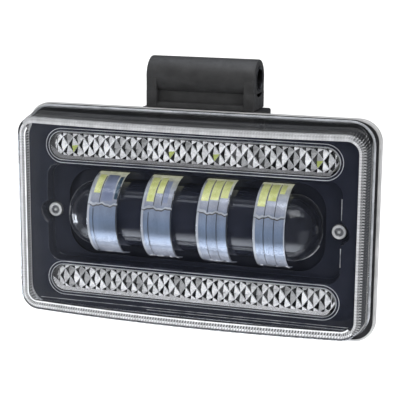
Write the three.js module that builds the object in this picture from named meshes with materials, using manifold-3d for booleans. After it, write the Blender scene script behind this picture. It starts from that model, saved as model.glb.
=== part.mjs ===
// Rectangular LED fog light: a clear crowned lens on a finned die-cast housing that hangs from a
// pivot lug on its top edge. Millimetres. +X is to the right seen from the front, the lens faces -Y
// and +Z is up. The origin is the centre of the lug's bore. Everything but the pivot sleeve tilts
// about that bore. Inside the lamp group, y = 0 is the back plane of the lens rim and z = 0 is the
// lamp's middle.
import * as THREE from "three";
import { mergeVertices } from "three/addons/utils/BufferGeometryUtils.js";
import Module from "manifold-3d";

const wasm = await Module();
wasm.setup();

// Outline of the lamp, shared by the lens rim and the seal.
const LAMP_WIDTH = 160;
const LAMP_HEIGHT = 96;
const LAMP_CORNER = 11;
const PIVOT_ABOVE_CENTRE = 62;
const PIVOT_BEHIND_RIM = 12.5;
const GAP = 0.3; // clearance between pieces that touch on the real lamp

// Front lens: a tapered cap with a face that bows forward towards the middle.
const LENS_DEPTH = 17;
const LENS_CROWN = 5.5;
const LENS_SIDE_DRAFT = 0.6; // left and right walls lean in this much over the lens depth
const LENS_EDGE_DRAFT = 2.8; // top and bottom walls lean in this much
const LENS_WALL = 1.8;
const LENS_RIM_STEP = 0.6;
const LENS_RIM_DEPTH = 1.8;

// Rear housing: flange, tapered bowl, pedestal for the light engine and cooling fins.
const GASKET_DEPTH = 2;
const FLANGE_FRONT = GASKET_DEPTH + 2 * GAP;
const FLANGE_DEPTH = 3.2;
const FLANGE_WIDTH = 163.4;
const FLANGE_HEIGHT = 99.2;
const FLANGE_CORNER = 10;
const FLANGE_DROP = 1.6; // the flange stands out below the lens rim but not above it
const BOWL_INSET = 5;
const BOWL_TAPER = 6;
const BOWL_BACK = 34;
const BOWL_WALL = 2.6;
const BACK_WALL = 3;
const FLANGE_OPENING_INSET = 6.5;
const FIN_COUNT = 13;
const FIN_PITCH = 9.2;
const FIN_THICKNESS = 2.4;
const FIN_REACH = 9;
const FIN_HALF_HEIGHT = 34;
const SHORT_FIN_FOOT = -6;
const FULL_FIN_LIMIT = 44;
const PEDESTAL = [112, 28, 3]; // width, height and corner radius, as for the flat pieces below
const LUG_PAD_HALF_WIDTH = 28;
const LUG_PAD_BACK = 22.5;

// Pivot lug and the steel sleeve that the vehicle's bolt clamps.
const LUG_HALF_LENGTH = 25;
const LUG_RADIUS = 8.5;
const LUG_POST_WIDTH = 5;
const LUG_WEB_HALF_DEPTH = 5.5;
const LUG_FOOT_HEIGHT = 2.4;
const LUG_FOOT_HALF_DEPTH = 8;
const SLEEVE_BORE = 4.6;
const SLEEVE_WALL = 1;
const SLEEVE_CLEARANCE = 0.15;
const LUG_SCREW_HOLE_RADIUS = 2.3;
const SLEEVE_HALF_LENGTH = LUG_HALF_LENGTH + 0.2;
const LUG_SCREW_X = 14;

// Inner bezel: a raised frame with two daytime-light windows and a recessed field between them.
const BEZEL_WIDTH = 153;
const BEZEL_HEIGHT = 87.6;
const BEZEL_CORNER = 9.5;
const BEZEL_FRONT = -9.5;
const BEZEL_BACK = -0.6;
const BEZEL_TAPER = 0.7;
const BEZEL_WALL = 1.8;
const RECESS_FLOOR = -3;
const RECESS_WIDTH = 135.4;
const RECESS_HEIGHT = 45;
const RECESS_CORNER = 6;
const BEZEL_SCREW_X = 66;
const BEZEL_SCREW_HOLE_RADIUS = 2;
const SCREW_POCKET_RADIUS = 5.2;

// Daytime running lights: one stadium-shaped optic above the projector and one below it.
const DRL_Z = 30.8;
const DRL_LENGTH = 132.6;
const DRL_HEIGHT = 12.4;
const DRL_FRONT = -9.2;
const DRL_OPTIC_DEPTH = 3.6;
const DRL_CUP_WALL = 1.4;
const DRL_CUP_BACK = -2.4;
const DRL_LED_X = [-55, -33, -11, 11, 33, 55];

// Projector: four clear bands over a black half-round trim with domed ends.
const PROJECTOR_Y = 0.5;
const BAND_PITCH = 25.4;
const BAND_WIDTH = 14.8;
const BAND_RADIUS = 19.1;
const BAND_THICKNESS = 2.9;
const TRIM_RADIUS = 15.5;
const TRIM_WALL = 1.9;
const TRIM_DOME_START = 46;
const TRIM_REACH = 58.7;
const TRIM_FLANGE = [121.6, 42, 4];
const TRIM_FLANGE_FRONT = 0.8;
const TRIM_FLANGE_DEPTH = 1.6;
const LED_BOARD = [116, 30, 3];
const LED_BOARD_FRONT = 4;
const BOARD_THICKNESS = 1.6;
const THERMAL_PAD = [110, 26, 2];
const THERMAL_PAD_THICKNESS = 0.6;
const BOARD_SCREW_HOLE_RADIUS = 1.8;

// Driver electronics in the bowl below the pedestal.
const DRIVER_BOARD = [78, 18.4, 1.5];
const DRIVER_BOARD_FRONT = 25;
const DRIVER_BOARD_Z = -25.8;
const DRIVER_SCREW_X = [-38, 32];
const REAR_PORT_X = 52;
const REAR_PORT_Z = -22;

// Facets: a corner arc has twice ARC_STEPS of them, a round piece has ROUND_STEPS.
const ARC_STEPS = 3;
const ROUND_STEPS = 18;
const SMALL_ROUND_STEPS = 12;

// ---------------------------------------------------------------- solids

function solid(geometry) {
  const bare = geometry.index ? geometry.toNonIndexed() : geometry.clone();
  bare.deleteAttribute("normal");
  bare.deleteAttribute("uv");
  const merged = mergeVertices(bare, 1e-4);
  const corners = merged.index.array;
  const kept = [];
  for (let i = 0; i < corners.length; i += 3) {
    const [a, b, c] = corners.slice(i, i + 3);
    if (a !== b && b !== c && c !== a) kept.push(a, b, c);
  }
  return new wasm.Manifold(
    new wasm.Mesh({
      numProp: 3,
      vertProperties: merged.attributes.position.array,
      triVerts: new Uint32Array(kept),
    }),
  );
}

function geometryOf(body) {
  const mesh = body.getMesh();
  const geometry = new THREE.BufferGeometry();
  geometry.setAttribute("position", new THREE.BufferAttribute(mesh.vertProperties, 3));
  geometry.setIndex(new THREE.BufferAttribute(mesh.triVerts, 1));
  geometry.computeVertexNormals();
  return geometry;
}

const join = (first, ...others) => others.reduce((sum, next) => sum.add(next), first);
const cut = (first, ...others) => others.reduce((rest, next) => rest.subtract(next), first);

// A box between two corners.
function block(low, high) {
  const size = high.map((value, i) => value - low[i]);
  const middle = high.map((value, i) => (value + low[i]) / 2);
  return solid(new THREE.BoxGeometry(...size).translate(...middle));
}

// An outline in the XZ plane, extruded from yFront back to yBack. The spreads move the back corners
// outwards along X and Z, which gives the walls their draft.
function plate(shape, yFront, yBack, spreadX = 0, spreadZ = spreadX) {
  const geometry = new THREE.ExtrudeGeometry(shape, {
    depth: yBack - yFront,
    bevelEnabled: false,
    curveSegments: ARC_STEPS,
  });
  geometry.rotateX(Math.PI / 2).translate(0, yBack, 0);
  const place = geometry.attributes.position;
  const middle = (yFront + yBack) / 2;
  for (let i = 0; i < place.count; i += 1) {
    if (place.getY(i) < middle) continue;
    place.setX(i, place.getX(i) + Math.sign(place.getX(i)) * spreadX);
    place.setZ(i, place.getZ(i) + Math.sign(place.getZ(i)) * spreadZ);
  }
  return solid(geometry);
}

// An outline in the YZ plane, extruded along X.
function beam(shape, xLow, xHigh, steps = ARC_STEPS) {
  const geometry = new THREE.ExtrudeGeometry(shape, {
    depth: xHigh - xLow,
    bevelEnabled: false,
    curveSegments: steps,
  });
  const turn = new THREE.Matrix4().makeBasis(
    new THREE.Vector3(0, 1, 0),
    new THREE.Vector3(0, 0, 1),
    new THREE.Vector3(1, 0, 0),
  );
  return solid(geometry.applyMatrix4(turn).translate(xLow, 0, 0));
}

// A profile of [radius, height] pairs turned about the Y axis, then moved.
function turned(profile, place = [0, 0, 0], steps = ROUND_STEPS) {
  const points = profile.map(([radius, height]) => new THREE.Vector2(radius, height));
  return solid(new THREE.LatheGeometry(points, steps).translate(...place));
}

function rod(radius, yFront, yBack, x = 0, z = 0, steps = ROUND_STEPS) {
  return turned([[0, yFront], [radius, yFront], [radius, yBack], [0, yBack]], [x, 0, z], steps);
}

// A round bar about the X axis.
function crossRod(radius, xLow, xHigh, steps = 32) {
  const points = [[0, xLow], [radius, xLow], [radius, xHigh], [0, xHigh]];
  const geometry = new THREE.LatheGeometry(points.map((p) => new THREE.Vector2(...p)), steps);
  return solid(geometry.rotateZ(-Math.PI / 2));
}

function roundedRect(width, height, radius) {
  const [x, y] = [width / 2 - radius, height / 2 - radius];
  const shape = new THREE.Shape();
  shape.moveTo(x + radius, -y);
  shape.absarc(x, y, radius, 0, Math.PI / 2);
  shape.absarc(-x, y, radius, Math.PI / 2, Math.PI);
  shape.absarc(-x, -y, radius, Math.PI, 1.5 * Math.PI);
  shape.absarc(x, -y, radius, 1.5 * Math.PI, 2 * Math.PI);
  return shape;
}

const stadium = (length, height) => roundedRect(length, height, height / 2);

const insetOutline = (inset) =>
  roundedRect(LAMP_WIDTH - 2 * inset, LAMP_HEIGHT - 2 * inset, LAMP_CORNER - inset);

function polygon(points) {
  return new THREE.Shape(points.map(([x, y]) => new THREE.Vector2(x, y)));
}

// ---------------------------------------------------------------- scene graph

const lamp = new THREE.Group();
lamp.position.set(0, -PIVOT_BEHIND_RIM, -PIVOT_ABOVE_CENTRE);
const pivot = new THREE.Group();
const fogLight = new THREE.Group();
fogLight.add(pivot, lamp);

const FINISHES = {
  clear: { color: 0xe6ecf2, roughness: 0.04, metalness: 0, opacity: 0.35, transparent: true },
  dieCast: { color: 0x1c1d1f, roughness: 0.55, metalness: 0.2 },
  lug: { color: 0x2b2b2d, roughness: 0.62, metalness: 0.1 },
  glossBlack: { color: 0x14161c, roughness: 0.12, metalness: 0 },
  rubber: { color: 0x111112, roughness: 0.85, metalness: 0 },
  blackSteel: { color: 0x2c2d30, roughness: 0.45, metalness: 0.9 },
  steel: { color: 0xb9bcc0, roughness: 0.3, metalness: 1 },
  mirror: { color: 0xd7dbe2, roughness: 0.08, metalness: 1 },
  phosphor: { color: 0xe8e25a, roughness: 0.5, metalness: 0 },
  board: { color: 0x10261b, roughness: 0.5, metalness: 0 },
  whiteBoard: { color: 0xe9e9e4, roughness: 0.5, metalness: 0 },
  pad: { color: 0x8d949c, roughness: 0.9, metalness: 0 },
  component: { color: 0x1b1b1d, roughness: 0.5, metalness: 0 },
};

function addPart(group, name, body, finish, place = [0, 0, 0]) {
  const material = new THREE.MeshStandardMaterial(FINISHES[finish]);
  const mesh = new THREE.Mesh(geometryOf(body), material);
  mesh.name = name;
  mesh.position.set(...place);
  group.add(mesh);
}

// ---------------------------------------------------------------- shell of the lamp

// Everything from a bowed face back to yBack. The face is straight in Z, passes through yEdge at
// halfWidth to either side and bulges forward by LENS_CROWN at the middle.
function bowedBlock(yEdge, halfWidth, yBack) {
  const yCrown = yEdge - LENS_CROWN;
  const radius = (halfWidth ** 2 + LENS_CROWN ** 2) / (2 * LENS_CROWN);
  const reach = LAMP_WIDTH / 2 + 5;
  const steps = 20;
  const bow = [];
  for (let i = 0; i <= steps; i += 1) {
    const x = -reach + (2 * reach * i) / steps;
    bow.push([x, yCrown + radius - Math.sqrt(radius ** 2 - x ** 2)]);
  }
  const shape = polygon([...bow, [reach, yBack], [-reach, yBack]]);
  const geometry = new THREE.ExtrudeGeometry(shape, { depth: LAMP_HEIGHT, bevelEnabled: false });
  return solid(geometry.translate(0, 0, -LAMP_HEIGHT / 2));
}

function frontLens() {
  const halfFace = LAMP_WIDTH / 2 - LENS_RIM_STEP - LENS_SIDE_DRAFT;
  const reach = -LENS_DEPTH - LENS_CROWN - 1;
  const outline = (inset) =>
    roundedRect(
      LAMP_WIDTH - 2 * (inset + LENS_SIDE_DRAFT),
      LAMP_HEIGHT - 2 * (inset + LENS_EDGE_DRAFT),
      LAMP_CORNER - inset - 0.9,
    );
  const drafts = [LENS_SIDE_DRAFT, LENS_EDGE_DRAFT];
  const outside = plate(outline(LENS_RIM_STEP), reach, 0, ...drafts).intersect(
    bowedBlock(-LENS_DEPTH, halfFace, 1),
  );
  const inside = plate(outline(LENS_RIM_STEP + LENS_WALL), reach, 1, ...drafts).intersect(
    bowedBlock(-LENS_DEPTH + LENS_WALL, halfFace, 2),
  );
  const rim = plate(insetOutline(0), -LENS_RIM_DEPTH, 0);
  return cut(join(outside, rim), inside);
}

function lensGasket() {
  const ring = plate(insetOutline(0.5), GAP, GAP + GASKET_DEPTH);
  return cut(ring, plate(insetOutline(FLANGE_OPENING_INSET), 0, GASKET_DEPTH + 1));
}

function coolingFins() {
  const fins = [];
  const [foot, tip] = [BOWL_BACK - 0.5, BOWL_BACK + FIN_REACH];
  for (let i = 0; i < FIN_COUNT; i += 1) {
    const x = (i - (FIN_COUNT - 1) / 2) * FIN_PITCH;
    const low = Math.abs(x) < FULL_FIN_LIMIT ? -FIN_HALF_HEIGHT : SHORT_FIN_FOOT;
    const side = polygon([
      [foot, low - 1],
      [tip, low + 3],
      [tip, FIN_HALF_HEIGHT - 3],
      [foot, FIN_HALF_HEIGHT + 1],
    ]);
    fins.push(beam(side, x - FIN_THICKNESS / 2, x + FIN_THICKNESS / 2));
  }
  return fins;
}

function rearHousing() {
  const flangeBack = FLANGE_FRONT + FLANGE_DEPTH;
  const flangeOutline = roundedRect(FLANGE_WIDTH, FLANGE_HEIGHT, FLANGE_CORNER);
  const flange = plate(flangeOutline, FLANGE_FRONT, flangeBack).translate([0, 0, -FLANGE_DROP]);
  const bowl = plate(insetOutline(BOWL_INSET), flangeBack - 0.5, BOWL_BACK, -BOWL_TAPER);
  const hollowOutline = insetOutline(BOWL_INSET + BOWL_WALL);
  const hollow = plate(hollowOutline, 5, BOWL_BACK - BACK_WALL, -BOWL_TAPER);
  const mouth = plate(insetOutline(FLANGE_OPENING_INSET), 0, 6);
  const lugPad = block(
    [-LUG_PAD_HALF_WIDTH, FLANGE_FRONT + 1, 38],
    [LUG_PAD_HALF_WIDTH, LUG_PAD_BACK, LAMP_HEIGHT / 2],
  );
  const shell = cut(join(flange, bowl, lugPad), hollow, mouth);

  const padStack = LED_BOARD_FRONT + BOARD_THICKNESS + THERMAL_PAD_THICKNESS + 2 * GAP;
  const pedestal = plate(roundedRect(...PEDESTAL), padStack, BOWL_BACK - 1);
  const bosses = [-1, 1].map((side) =>
    rod(4.5, GASKET_DEPTH + 0.8, 22, side * BEZEL_SCREW_X),
  );
  const driverBosses = DRIVER_SCREW_X.map((x) =>
    rod(3, DRIVER_BOARD_FRONT + BOARD_THICKNESS + GAP, BOWL_BACK - 1, x, DRIVER_BOARD_Z),
  );
  const portBosses = [-1, 1].map((side) =>
    rod(8.5, BOWL_BACK - 1, BOWL_BACK + 2, side * REAR_PORT_X, REAR_PORT_Z),
  );
  const body = join(
    shell, pedestal, ...bosses, ...driverBosses, ...portBosses, ...coolingFins(),
  );

  const screwHoles = [-1, 1].map((side) =>
    rod(BEZEL_SCREW_HOLE_RADIUS, 0, 14, side * BEZEL_SCREW_X, 0, SMALL_ROUND_STEPS),
  );
  const boardHoles = [-1, 0, 1].map((side) => 
    rod(BOARD_SCREW_HOLE_RADIUS, 5, 16, side * BAND_PITCH, 0, SMALL_ROUND_STEPS),
  );
  const driverHoles = DRIVER_SCREW_X.map((x) =>
    rod(1.4, 24, 30.5, x, DRIVER_BOARD_Z, SMALL_ROUND_STEPS),
  );
  const ports = [
    rod(5.5, 25, BOWL_BACK + 5, REAR_PORT_X, REAR_PORT_Z),
    rod(3.1, 25, BOWL_BACK + 5, -REAR_PORT_X, REAR_PORT_Z),
  ];
  const lugHoles = [-1, 1].map((side) =>
    uprightRod(LUG_SCREW_HOLE_RADIUS, 36, 50, side * LUG_SCREW_X, PIVOT_BEHIND_RIM),
  );
  return cut(body, ...screwHoles, ...boardHoles, ...driverHoles, ...ports, ...lugHoles);
}

// A round bar about the Z axis.
function uprightRod(radius, zLow, zHigh, x, y) {
  const bar = new THREE.CylinderGeometry(radius, radius, zHigh - zLow, SMALL_ROUND_STEPS);
  return solid(bar.rotateX(Math.PI / 2).translate(x, y, (zLow + zHigh) / 2));
}

// ---------------------------------------------------------------- pivot lug and sleeve

function pivotLug() {
  const foot = -(PIVOT_ABOVE_CENTRE - LAMP_HEIGHT / 2) + GAP;
  const boreRadius = SLEEVE_BORE + SLEEVE_WALL + SLEEVE_CLEARANCE;
  const barrel = crossRod(LUG_RADIUS, -LUG_HALF_LENGTH, LUG_HALF_LENGTH);
  const posts = [-1, 1].map((side) => {
    const outer = side * LUG_HALF_LENGTH;
    const inner = outer - side * LUG_POST_WIDTH;
    const [low, high] = [Math.min(inner, outer), Math.max(inner, outer)];
    return block([low, -LUG_RADIUS, foot], [high, LUG_RADIUS, 0]);
  });
  const web = block(
    [-LUG_HALF_LENGTH + 1, -LUG_WEB_HALF_DEPTH, foot],
    [LUG_HALF_LENGTH - 1, LUG_WEB_HALF_DEPTH, 0],
  );
  const base = block(
    [-LUG_HALF_LENGTH + 0.5, -LUG_FOOT_HALF_DEPTH, foot],
    [LUG_HALF_LENGTH - 0.5, LUG_FOOT_HALF_DEPTH, foot + LUG_FOOT_HEIGHT],
  );
  const bore = crossRod(boreRadius, -LUG_HALF_LENGTH - 1, LUG_HALF_LENGTH + 1);
  const holes = [-1, 1].map((side) =>
    uprightRod(LUG_SCREW_HOLE_RADIUS, foot - 1, -7.8, side * LUG_SCREW_X, 0),
  );
  return cut(join(barrel, ...posts, web, base), bore, ...holes);
}

function pivotSleeve() {
  const tube = crossRod(SLEEVE_BORE + SLEEVE_WALL, -SLEEVE_HALF_LENGTH, SLEEVE_HALF_LENGTH);
  return cut(tube, crossRod(SLEEVE_BORE, -SLEEVE_HALF_LENGTH - 1, SLEEVE_HALF_LENGTH + 1));
}

function lugScrew() {
  const shank = uprightRod(2, 37, 53.5, 0, 0);
  return join(shank, uprightRod(3.6, 35.2, 37.4, 0, 0));
}

// ---------------------------------------------------------------- bezel and screws

function innerBezel() {
  const outline = (inset) =>
    roundedRect(BEZEL_WIDTH - 2 * inset, BEZEL_HEIGHT - 2 * inset, BEZEL_CORNER - inset);
  const recess = (grow) =>
    roundedRect(RECESS_WIDTH + 2 * grow, RECESS_HEIGHT + 2 * grow, RECESS_CORNER + grow);
  const skin = cut(
    plate(outline(0), BEZEL_FRONT, BEZEL_BACK, BEZEL_TAPER),
    plate(outline(BEZEL_WALL), BEZEL_FRONT + BEZEL_WALL, BEZEL_BACK + 1, BEZEL_TAPER),
  );
  const floorBack = RECESS_FLOOR + BEZEL_WALL;
  const sides = [-1, 1];
  const tub = join(
    plate(recess(BEZEL_WALL), BEZEL_FRONT + 1, floorBack),
    ...sides.map((side) =>
      rod(SCREW_POCKET_RADIUS + BEZEL_WALL, BEZEL_FRONT + 1, floorBack, side * BEZEL_SCREW_X),
    ),
  );
  const field = join(
    plate(recess(0), BEZEL_FRONT - 1, RECESS_FLOOR),
    ...sides.map((side) =>
      rod(SCREW_POCKET_RADIUS, BEZEL_FRONT - 1, RECESS_FLOOR, side * BEZEL_SCREW_X),
    ),
  );
  const spacers = sides.map((side) => rod(4, floorBack - 0.5, 2.4, side * BEZEL_SCREW_X));
  const projectorWindow = plate(
    roundedRect(2 * TRIM_REACH + 1.2, 2 * BAND_RADIUS + 0.8, 12),
    BEZEL_FRONT - 1,
    0,
  );
  const drlWindows = sides.map((side) =>
    plate(stadium(DRL_LENGTH + 0.8, DRL_HEIGHT + 0.8), BEZEL_FRONT - 1, 0).translate([
      0, 0, side * DRL_Z,
    ]),
  );
  const screwHoles = sides.map((side) =>
    rod(BEZEL_SCREW_HOLE_RADIUS, BEZEL_FRONT, 4, side * BEZEL_SCREW_X, 0, SMALL_ROUND_STEPS),
  );
  return cut(join(skin, tub, ...spacers), field, projectorWindow, ...drlWindows, ...screwHoles);
}

// A pan-head screw about the Y axis, with its head's underside at y = 0 and a round drive recess.
function panScrew(headRadius, headHeight, shankRadius, length) {
  return turned(
    [
      [0, -0.5 * headHeight],
      [0.4 * headRadius, -headHeight],
      [0.75 * headRadius, -headHeight],
      [headRadius, -0.5 * headHeight],
      [headRadius, 0],
      [shankRadius, 0],
      [shankRadius, length],
      [0, length],
    ],
    [0, 0, 0],
    SMALL_ROUND_STEPS,
  );
}

// ---------------------------------------------------------------- daytime running lights

function drlLens() {
  const cup = plate(stadium(DRL_LENGTH, DRL_HEIGHT), DRL_FRONT, DRL_CUP_BACK);
  const inside = stadium(DRL_LENGTH - 2 * DRL_CUP_WALL, DRL_HEIGHT - 2 * DRL_CUP_WALL);
  return cut(cup, plate(inside, DRL_FRONT + DRL_OPTIC_DEPTH, 0));
}

function drlBoard() {
  const front = DRL_CUP_BACK + GAP;
  return plate(stadium(DRL_LENGTH - 1, DRL_HEIGHT - 1), front, front + BOARD_THICKNESS);
}

function drlLed() {
  const body = block([-1.75, -1, -1.75], [1.75, 0, 1.75]);
  return cut(body, block([-1.3, -2, -1.3], [1.3, -0.6, 1.3]));
}

// ---------------------------------------------------------------- projector

// The solid of revolution about X that the trim and its hollow are cut from.
function domedBar(radius, reach) {
  const dome = reach - TRIM_DOME_START;
  const steps = 5;
  const side = [];
  for (let i = 0; i <= steps; i += 1) {
    const angle = (Math.PI / 2) * (i / steps);
    side.push([radius * Math.sin(angle), TRIM_DOME_START + dome * Math.cos(angle)]);
  }
  const left = side.map(([r, x]) => new THREE.Vector2(r, -x));
  const right = side.map(([r, x]) => new THREE.Vector2(r, x)).reverse();
  left[0].x = 0;
  right[right.length - 1].x = 0;
  const geometry = new THREE.LatheGeometry([...left, ...right], 32);
  return solid(geometry.rotateZ(-Math.PI / 2).translate(0, PROJECTOR_Y, 0));
}

const bandCentres = [-1.5, -0.5, 0.5, 1.5].map((k) => k * BAND_PITCH);

function projectorTrim() {
  const back = TRIM_FLANGE_FRONT + TRIM_FLANGE_DEPTH;
  const front = block([-70, -30, -30], [70, back, 30]);
  const flange = plate(roundedRect(...TRIM_FLANGE), TRIM_FLANGE_FRONT, back);
  const bar = join(domedBar(TRIM_RADIUS, TRIM_REACH).intersect(front), flange);
  const opening = block([-50, PROJECTOR_Y, -13.2], [50, back + 1, 13.2]);
  const windows = bandCentres.map((x) =>
    block([x - 6.4, -30, -12.5], [x + 6.4, -3, 12.5]),
  );
  return cut(bar, domedBar(TRIM_RADIUS - TRIM_WALL, TRIM_REACH - TRIM_WALL), opening, ...windows);
}

function projectorLens() {
  const shape = new THREE.Shape();
  shape.absarc(PROJECTOR_Y, 0, BAND_RADIUS, Math.PI / 2, 1.5 * Math.PI, false);
  shape.absarc(
    PROJECTOR_Y, 0, BAND_RADIUS - BAND_THICKNESS, 1.5 * Math.PI, Math.PI / 2, true,
  );
  shape.closePath();
  return beam(shape, -BAND_WIDTH / 2, BAND_WIDTH / 2, SMALL_ROUND_STEPS);
}

// A curved mirror below the LED module that throws its light forward.
function reflector() {
  const shape = new THREE.Shape();
  shape.moveTo(1.4, 2);
  shape.quadraticCurveTo(0.8, -8.6, -7.5, -9.4);
  shape.lineTo(-7.5, -10.4);
  shape.quadraticCurveTo(2, -9.8, 2.4, 2);
  shape.closePath();
  return beam(shape, -6.2, 6.2, SMALL_ROUND_STEPS);
}

function ledModule() {
  const back = LED_BOARD_FRONT - GAP;
  const base = block([-6, back - 1.1, 3], [6, back, 12.4]);
  const chips = [-1, 0, 1].map((k) =>
    block([k * 3.9 - 1.6, back - 1.5, 4.4], [k * 3.9 + 1.6, back - 1, 11]),
  );
  return join(base, ...chips);
}

function ledBoard() {
  const back = LED_BOARD_FRONT + BOARD_THICKNESS;
  const holes = [-1, 0, 1].map((side) => 
    rod(BOARD_SCREW_HOLE_RADIUS, 0, 10, side * BAND_PITCH, 0, SMALL_ROUND_STEPS),
  );
  return cut(plate(roundedRect(...LED_BOARD), LED_BOARD_FRONT, back), ...holes);
}

function thermalPad() {
  const front = LED_BOARD_FRONT + BOARD_THICKNESS + GAP;
  const holes = [-1, 0, 1].map((side) => 
    rod(BOARD_SCREW_HOLE_RADIUS + 0.4, 0, 10, side * BAND_PITCH, 0, SMALL_ROUND_STEPS),
  );
  return cut(plate(roundedRect(...THERMAL_PAD), front, front + THERMAL_PAD_THICKNESS), ...holes);
}

// ---------------------------------------------------------------- driver and rear ports

function driverBoard() {
  const back = DRIVER_BOARD_FRONT + BOARD_THICKNESS;
  const board = plate(roundedRect(...DRIVER_BOARD), DRIVER_BOARD_FRONT, back);
  const placed = board.translate([-3, 0, DRIVER_BOARD_Z]);
  const holes = DRIVER_SCREW_X.map((x) => rod(1.5, 20, 30, x, DRIVER_BOARD_Z, SMALL_ROUND_STEPS));
  return cut(placed, ...holes);
}

function inductor() {
  return turned([[2.2, -7], [5.6, -7], [6.4, -6.2], [6.4, -0.8], [5.6, 0], [2.2, 0], [2.2, -7]]);
}

function capacitor() {
  return turned([[0, -11.4], [3.6, -11.4], [4, -11], [4, -1.6], [3.7, -1.2], [4, -0.8], [4, 0], [0, 0]]);
}

function cableGrommet() {
  const wall = BOWL_BACK - BACK_WALL;
  const lip = BOWL_BACK + 2 + GAP;
  return turned([
    [2.7, wall - GAP - 2.5],
    [6.6, wall - GAP - 2.5],
    [6.6, wall - GAP],
    [5.2, wall - GAP],
    [5.2, lip],
    [7.5, lip],
    [7.2, lip + 2],
    [4.6, lip + 5],
    [2.7, lip + 5],
    [2.7, wall - GAP - 2.5],
  ]);
}

function breatherVent() {
  const lip = BOWL_BACK + 2 + GAP;
  return turned([
    [0, lip - 7],
    [2.6, lip - 7],
    [2.8, lip],
    [6, lip],
    [6, lip + 2],
    [5.2, lip + 2.8],
    [0, lip + 2.8],
  ]);
}

// ---------------------------------------------------------------- assembly

addPart(pivot, "pivot_sleeve", pivotSleeve(), "blackSteel");

addPart(lamp, "front_lens", frontLens(), "clear");
addPart(lamp, "lens_gasket", lensGasket(), "rubber");
addPart(lamp, "rear_housing", rearHousing(), "dieCast");
addPart(lamp, "pivot_lug", pivotLug(), "lug", [0, PIVOT_BEHIND_RIM, PIVOT_ABOVE_CENTRE]);
addPart(lamp, "inner_bezel", innerBezel(), "glossBlack");
addPart(lamp, "projector_trim", projectorTrim(), "glossBlack");

const sideNames = [[-1, "left"], [1, "right"]];
for (const [side, word] of sideNames) {
  addPart(lamp, `lug_screw_${word}`, lugScrew(), "steel", [
    side * LUG_SCREW_X, PIVOT_BEHIND_RIM, 0,
  ]);
  addPart(lamp, `bezel_screw_${word}`, panScrew(3.3, 2, 1.6, 15), "steel", [
    side * BEZEL_SCREW_X, RECESS_FLOOR - GAP, 0,
  ]);
}

bandCentres.forEach((x, i) => {
  addPart(lamp, `projector_lens_${i + 1}`, projectorLens(), "clear", [x, 0, 0]);
  addPart(lamp, `reflector_${i + 1}`, reflector(), "mirror", [x, 0, 0]);
  addPart(lamp, `led_module_${i + 1}`, ledModule(), "phosphor", [x, 0, 0]);
});

addPart(lamp, "led_board", ledBoard(), "whiteBoard");
addPart(lamp, "thermal_pad", thermalPad(), "pad");
[-1, 0, 1].forEach((side, i) => {
  addPart(lamp, `board_screw_${i + 1}`, panScrew(2.7, 1.6, 1.4, 9.5), "steel", [
    side * BAND_PITCH, LED_BOARD_FRONT - GAP, 0,
  ]);
});

for (const [side, word] of [[1, "upper"], [-1, "lower"]]) {
  const z = side * DRL_Z;
  addPart(lamp, `drl_lens_${word}`, drlLens(), "clear", [0, 0, z]);
  addPart(lamp, `drl_board_${word}`, drlBoard(), "whiteBoard", [0, 0, z]);
  DRL_LED_X.forEach((x, i) => {
    addPart(lamp, `drl_led_${word}_${i + 1}`, drlLed(), "phosphor", [x, DRL_CUP_BACK, z]);
  });
}

const driverFace = DRIVER_BOARD_FRONT - GAP;
addPart(lamp, "driver_board", driverBoard(), "board");
addPart(lamp, "driver_inductor", inductor(), "component", [-22, driverFace, DRIVER_BOARD_Z]);
addPart(lamp, "driver_capacitor", capacitor(), "component", [-6, driverFace, DRIVER_BOARD_Z]);
addPart(
  lamp,
  "driver_controller",
  block([-4, -1.6, -3], [4, 0, 3]),
  "component",
  [9, driverFace, DRIVER_BOARD_Z],
);
addPart(
  lamp,
  "driver_terminal_block",
  block([-5, -8, -4], [5, 0, 4]),
  "component",
  [22, driverFace, DRIVER_BOARD_Z],
);
DRIVER_SCREW_X.forEach((x, i) => {
  addPart(lamp, `driver_screw_${i + 1}`, panScrew(2.2, 1.5, 1.1, 5.4), "steel", [
    x, driverFace, DRIVER_BOARD_Z,
  ]);
});

addPart(lamp, "cable_grommet", cableGrommet(), "rubber", [REAR_PORT_X, 0, REAR_PORT_Z]);
addPart(lamp, "breather_vent", breatherVent(), "rubber", [-REAR_PORT_X, 0, REAR_PORT_Z]);

export default fogLight;
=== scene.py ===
import math
import random

import bmesh
import bpy
from mathutils import Matrix, Vector


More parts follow.
